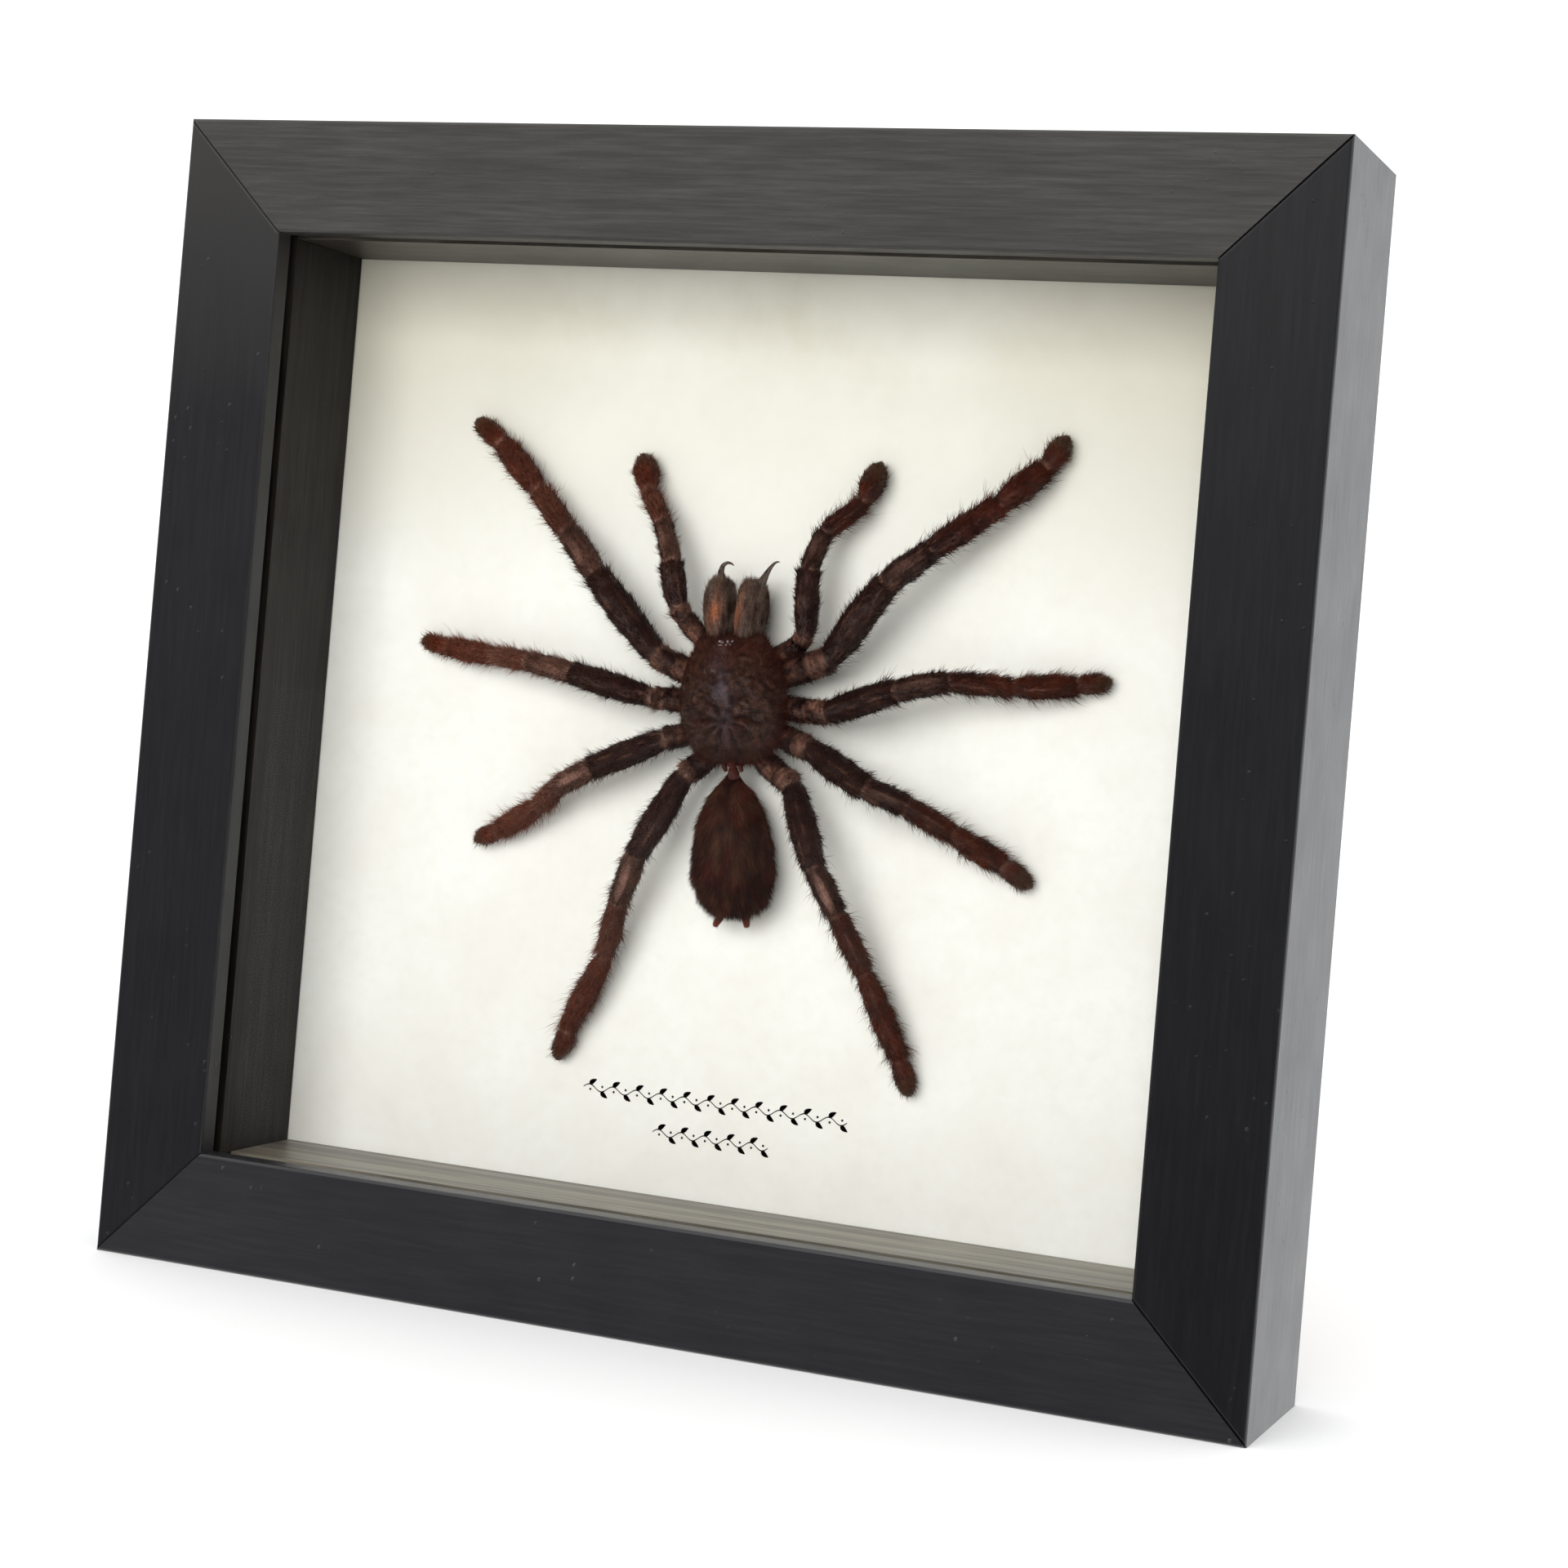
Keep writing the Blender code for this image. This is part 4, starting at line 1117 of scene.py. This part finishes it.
def make_vines(material):
    """Two lines of printed vine, a long one and a short one below it: see lay_vine."""
    for name, middle, half, leaves in (("sprig_long", (-0.3, -68.0), 24.0, 22),
                                       ("sprig_short", (-0.4, -74.0), 10.5, 10)):
        form = bmesh.new()
        lay_vine(form, middle, half, leaves)
        for vert in form.verts:
            vert.co = Vector(on_card((vert.co.x, vert.co.y, INK_LIFT)))
        bmesh.ops.solidify(form, geom=form.faces[:], thickness=INK_THICKNESS)
        bmesh.ops.recalc_face_normals(form, faces=form.faces[:])
        keep_piece(add_object(name, mesh_of(form, name), material), "card")


def lay_vine(form, middle, half, leaves):
    """A waving stem with leaves on either side in turn and a bud in each hollow of the wave."""
    turn = math.pi * leaves / (2.0 * half)

    def stem(x):
        return STEM_SWING * math.sin(turn * (x + half))

    made = bmesh.ops.create_grid(form, x_segments=leaves * 8, y_segments=1, size=1.0)
    for vert in made["verts"]:
        x = vert.co.x * half
        vert.co = Vector((middle[0] + x, middle[1] + stem(x) + vert.co.y * STEM_HALF_WIDTH, 0.0))
    for index in range(leaves):
        x = (index + 0.5) / leaves * 2.0 * half - half
        side = 1.0 if index % 2 == 0 else -1.0
        slant = side * LEAF_SLANT
        made = bmesh.ops.create_circle(form, cap_ends=True, segments=20, radius=1.0)
        for vert in made["verts"]:
            along = 0.78 * (1.0 + vert.co.x)
            across = 0.38 * vert.co.y * (1.0 - 0.45 * vert.co.x) + side * 0.10 * (1.0 - vert.co.x ** 2)
            vert.co = Vector((
                middle[0] + x + along * math.cos(slant) - across * math.sin(slant),
                middle[1] + stem(x) + along * math.sin(slant) + across * math.cos(slant), 0.0))
        bud = bmesh.ops.create_circle(form, cap_ends=True, segments=12, radius=0.20)
        for vert in bud["verts"]:
            vert.co += Vector((middle[0] + x + 0.2, middle[1] + stem(x) - side * 0.85, 0.0))


# Frame finishes ----------------------------------------------------------------------------

def finish_frame():
    """Gives every kept solid its finish. The pane lets the lamps light what is behind it."""
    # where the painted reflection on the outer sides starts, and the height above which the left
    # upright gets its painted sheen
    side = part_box("stile_right")[1][0] - 0.2 * MM
    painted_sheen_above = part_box("stile_left")[1][2] - 50 * MM
    # painted sheen: the bottom rail's paint is paler than the uprights', and the top rail's palest,
    # standing in for the light from above that their level grain catches
    # the axis of the grain and the colour, then roughness, grain, gloss, worn tone and banding
    paint_top = painted_wood("black_paint_top", LEVEL, (43, 42, 40), 0.50, 0.60, 0.5, 1.30, 0.25)
    paint_level = painted_wood("black_paint_level", LEVEL, (31, 31, 33), 0.36, 0.30, 0.6, 1.18)
    paint_left = painted_wood("black_paint_left", UPRIGHT, (24, 24, 26), 0.36, 0.30, 0.35, 1.2,
                              painted_reflection_from=side, painted_sheen_from=painted_sheen_above)
    paint_right = painted_wood("black_paint_right", UPRIGHT, (22, 22, 24), 0.36, 0.30, 0.35, 1.2,
                               painted_reflection_from=side)
    # lit and shaded copies of one black paint on the spacers: the bottom one pale as if lit from
    # above, the top one darker, the uprights darkest
    inner_top = painted_wood("inner_paint_top", LEVEL, (54, 50, 45), 0.42, 0.5, 0.4, 1.4, 0.5)
    inner_low = painted_wood("inner_paint_low", LEVEL, (126, 119, 106), 0.36, 0.9, 0.5, 1.25, 0.75,
                             stretch=0.03)
    inner_upright = painted_wood("inner_paint_upright", UPRIGHT, (28, 25, 22), 0.55, 0.6, 0.25,
                                 1.7, 0.6)
    steel = zinc_steel()
    finishes = {
        "rail_top": paint_top, "rail_bottom": paint_level,
        "stile_left": paint_left, "stile_right": paint_right,
        "spacer_top": inner_top, "spacer_bottom": inner_low,
        "spacer_left": inner_upright, "spacer_right": inner_upright,
        "glass_pane": clear_glass(), "mount_card": parchment(), "backing_board": hardboard(),
    }
    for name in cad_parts:
        if name.startswith(("flat_point", "hanger")):
            finishes[name] = steel
    for name, material in finishes.items():
        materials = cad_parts[name].data.materials
        materials.clear()
        materials.append(material)
    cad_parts["glass_pane"].visible_shadow = False


# Stage -------------------------------------------------------------------------------------

def make_stage():
    """A pale floor, pale surroundings that are dark straight ahead, and a large soft light."""
    form = bmesh.new()
    bmesh.ops.create_circle(form, cap_ends=True, segments=96, radius=6.0)
    mesh = mesh_of(form, "floor")
    material, tree, shader = new_material("pale_floor", (246, 246, 246), 0.8)
    set_inputs(shader, Specular_IOR_Level=0.1)
    middle = add_node(tree, "ShaderNodeTexCoord").outputs["Object"]
    away = add_node(tree, "ShaderNodeVectorMath", {"operation": "LENGTH"})
    tree.links.new(middle, away.inputs[0])
    far = share_between(tree, away.outputs["Value"], 0.25, 1.8)
    tone = mix_colour(tree, far, (238, 238, 238), (250, 250, 250))
    tree.links.new(tone, shader.inputs["Base Color"])
    floor = add_object("floor", mesh, material)
    floor.visible_glossy = False

    world = bpy.data.worlds.new("studio")
    bpy.context.scene.world = world
    world.use_nodes = True
    world.cycles_visibility.transmission = False
    tree = world.node_tree
    background = tree.nodes["Background"]
    coordinates = add_node(tree, "ShaderNodeTexCoord")
    split = add_node(tree, "ShaderNodeSeparateXYZ")
    tree.links.new(coordinates.outputs["Generated"], split.inputs[0])
    ahead = ramp(tree, split.outputs["Y"], 1.0, 0.0, -0.80, -0.35)
    low = ramp(tree, split.outputs["Z"], 1.0, 0.0, 0.08, 0.5)
    strength = ramp(tree, multiply(tree, ahead, low), 1.3, 0.05)
    tree.links.new(strength, background.inputs["Strength"])
    set_inputs(background, Color=(1.0, 1.0, 1.0, 1.0))
    add_softbox("key", (-0.38, -1.32, 0.82), 0.9, 2.5)
    fill = add_softbox("fill", (-0.08, -1.5, 0.27), 1.3, 31.2)
    fill.visible_glossy = False


LAMPS_AIM = (0.0, 0.0, 0.09)


def add_softbox(name, place, size, power):
    """A square lamp aimed at the frame, which isn't seen through the glass."""
    light = bpy.data.lights.new(name, "AREA")
    light.shape = "SQUARE"
    light.size = size
    light.energy = power
    lamp = add_object(name, light)
    lamp.location = place
    lamp.rotation_euler = (Vector(LAMPS_AIM) - Vector(place)).to_track_quat("-Z", "Y").to_euler()
    lamp.visible_transmission = False
    return lamp


def make_camera():
    """Level with the middle of the frame, from its right, rolled a little."""
    data = bpy.data.cameras.new("camera")
    data.lens = 71.0
    data.sensor_width = 36.0
    data.shift_y = -0.082
    data.clip_start = 0.01
    camera = add_object("camera", data)
    look = Vector((-0.3693, 0.9293, 0.0070)).normalized()
    roll = math.radians(4.8)
    turn = look.to_track_quat("-Z", "Y").to_matrix() @ Matrix.Rotation(roll, 3, "Z")
    camera.location = (0.1961, -0.4685, 0.1072)
    camera.rotation_euler = turn.to_euler()
    bpy.context.scene.camera = camera


make_camera()
make_stage()
HIDE = hide_material("dried_hide", 0.5, 0.15)
VELVET = hide_material("velvet_hide", 0.7)
HAIR = hair_material("body_hair", 0.55)
for seed, (limb, joints) in enumerate(LEGS.items(), 1):
    make_limb(limb, joints, LEG_SEGMENTS, HIDE, HAIR, seed)
for seed, (limb, joints) in enumerate(PALPS.items(), 11):
    make_limb(limb, joints, PALP_SEGMENTS, HIDE, HAIR, seed)
make_body(HIDE, VELVET, HAIR)
make_fangs(fang_material())
make_spinnerets(VELVET, HAIR)
make_eyes(eye_material())
make_pedicel(HIDE)
make_vines(ink())
finish_frame()

bpy.context.scene.view_settings.view_transform = "Standard"
bpy.context.scene.cycles.use_denoising = True
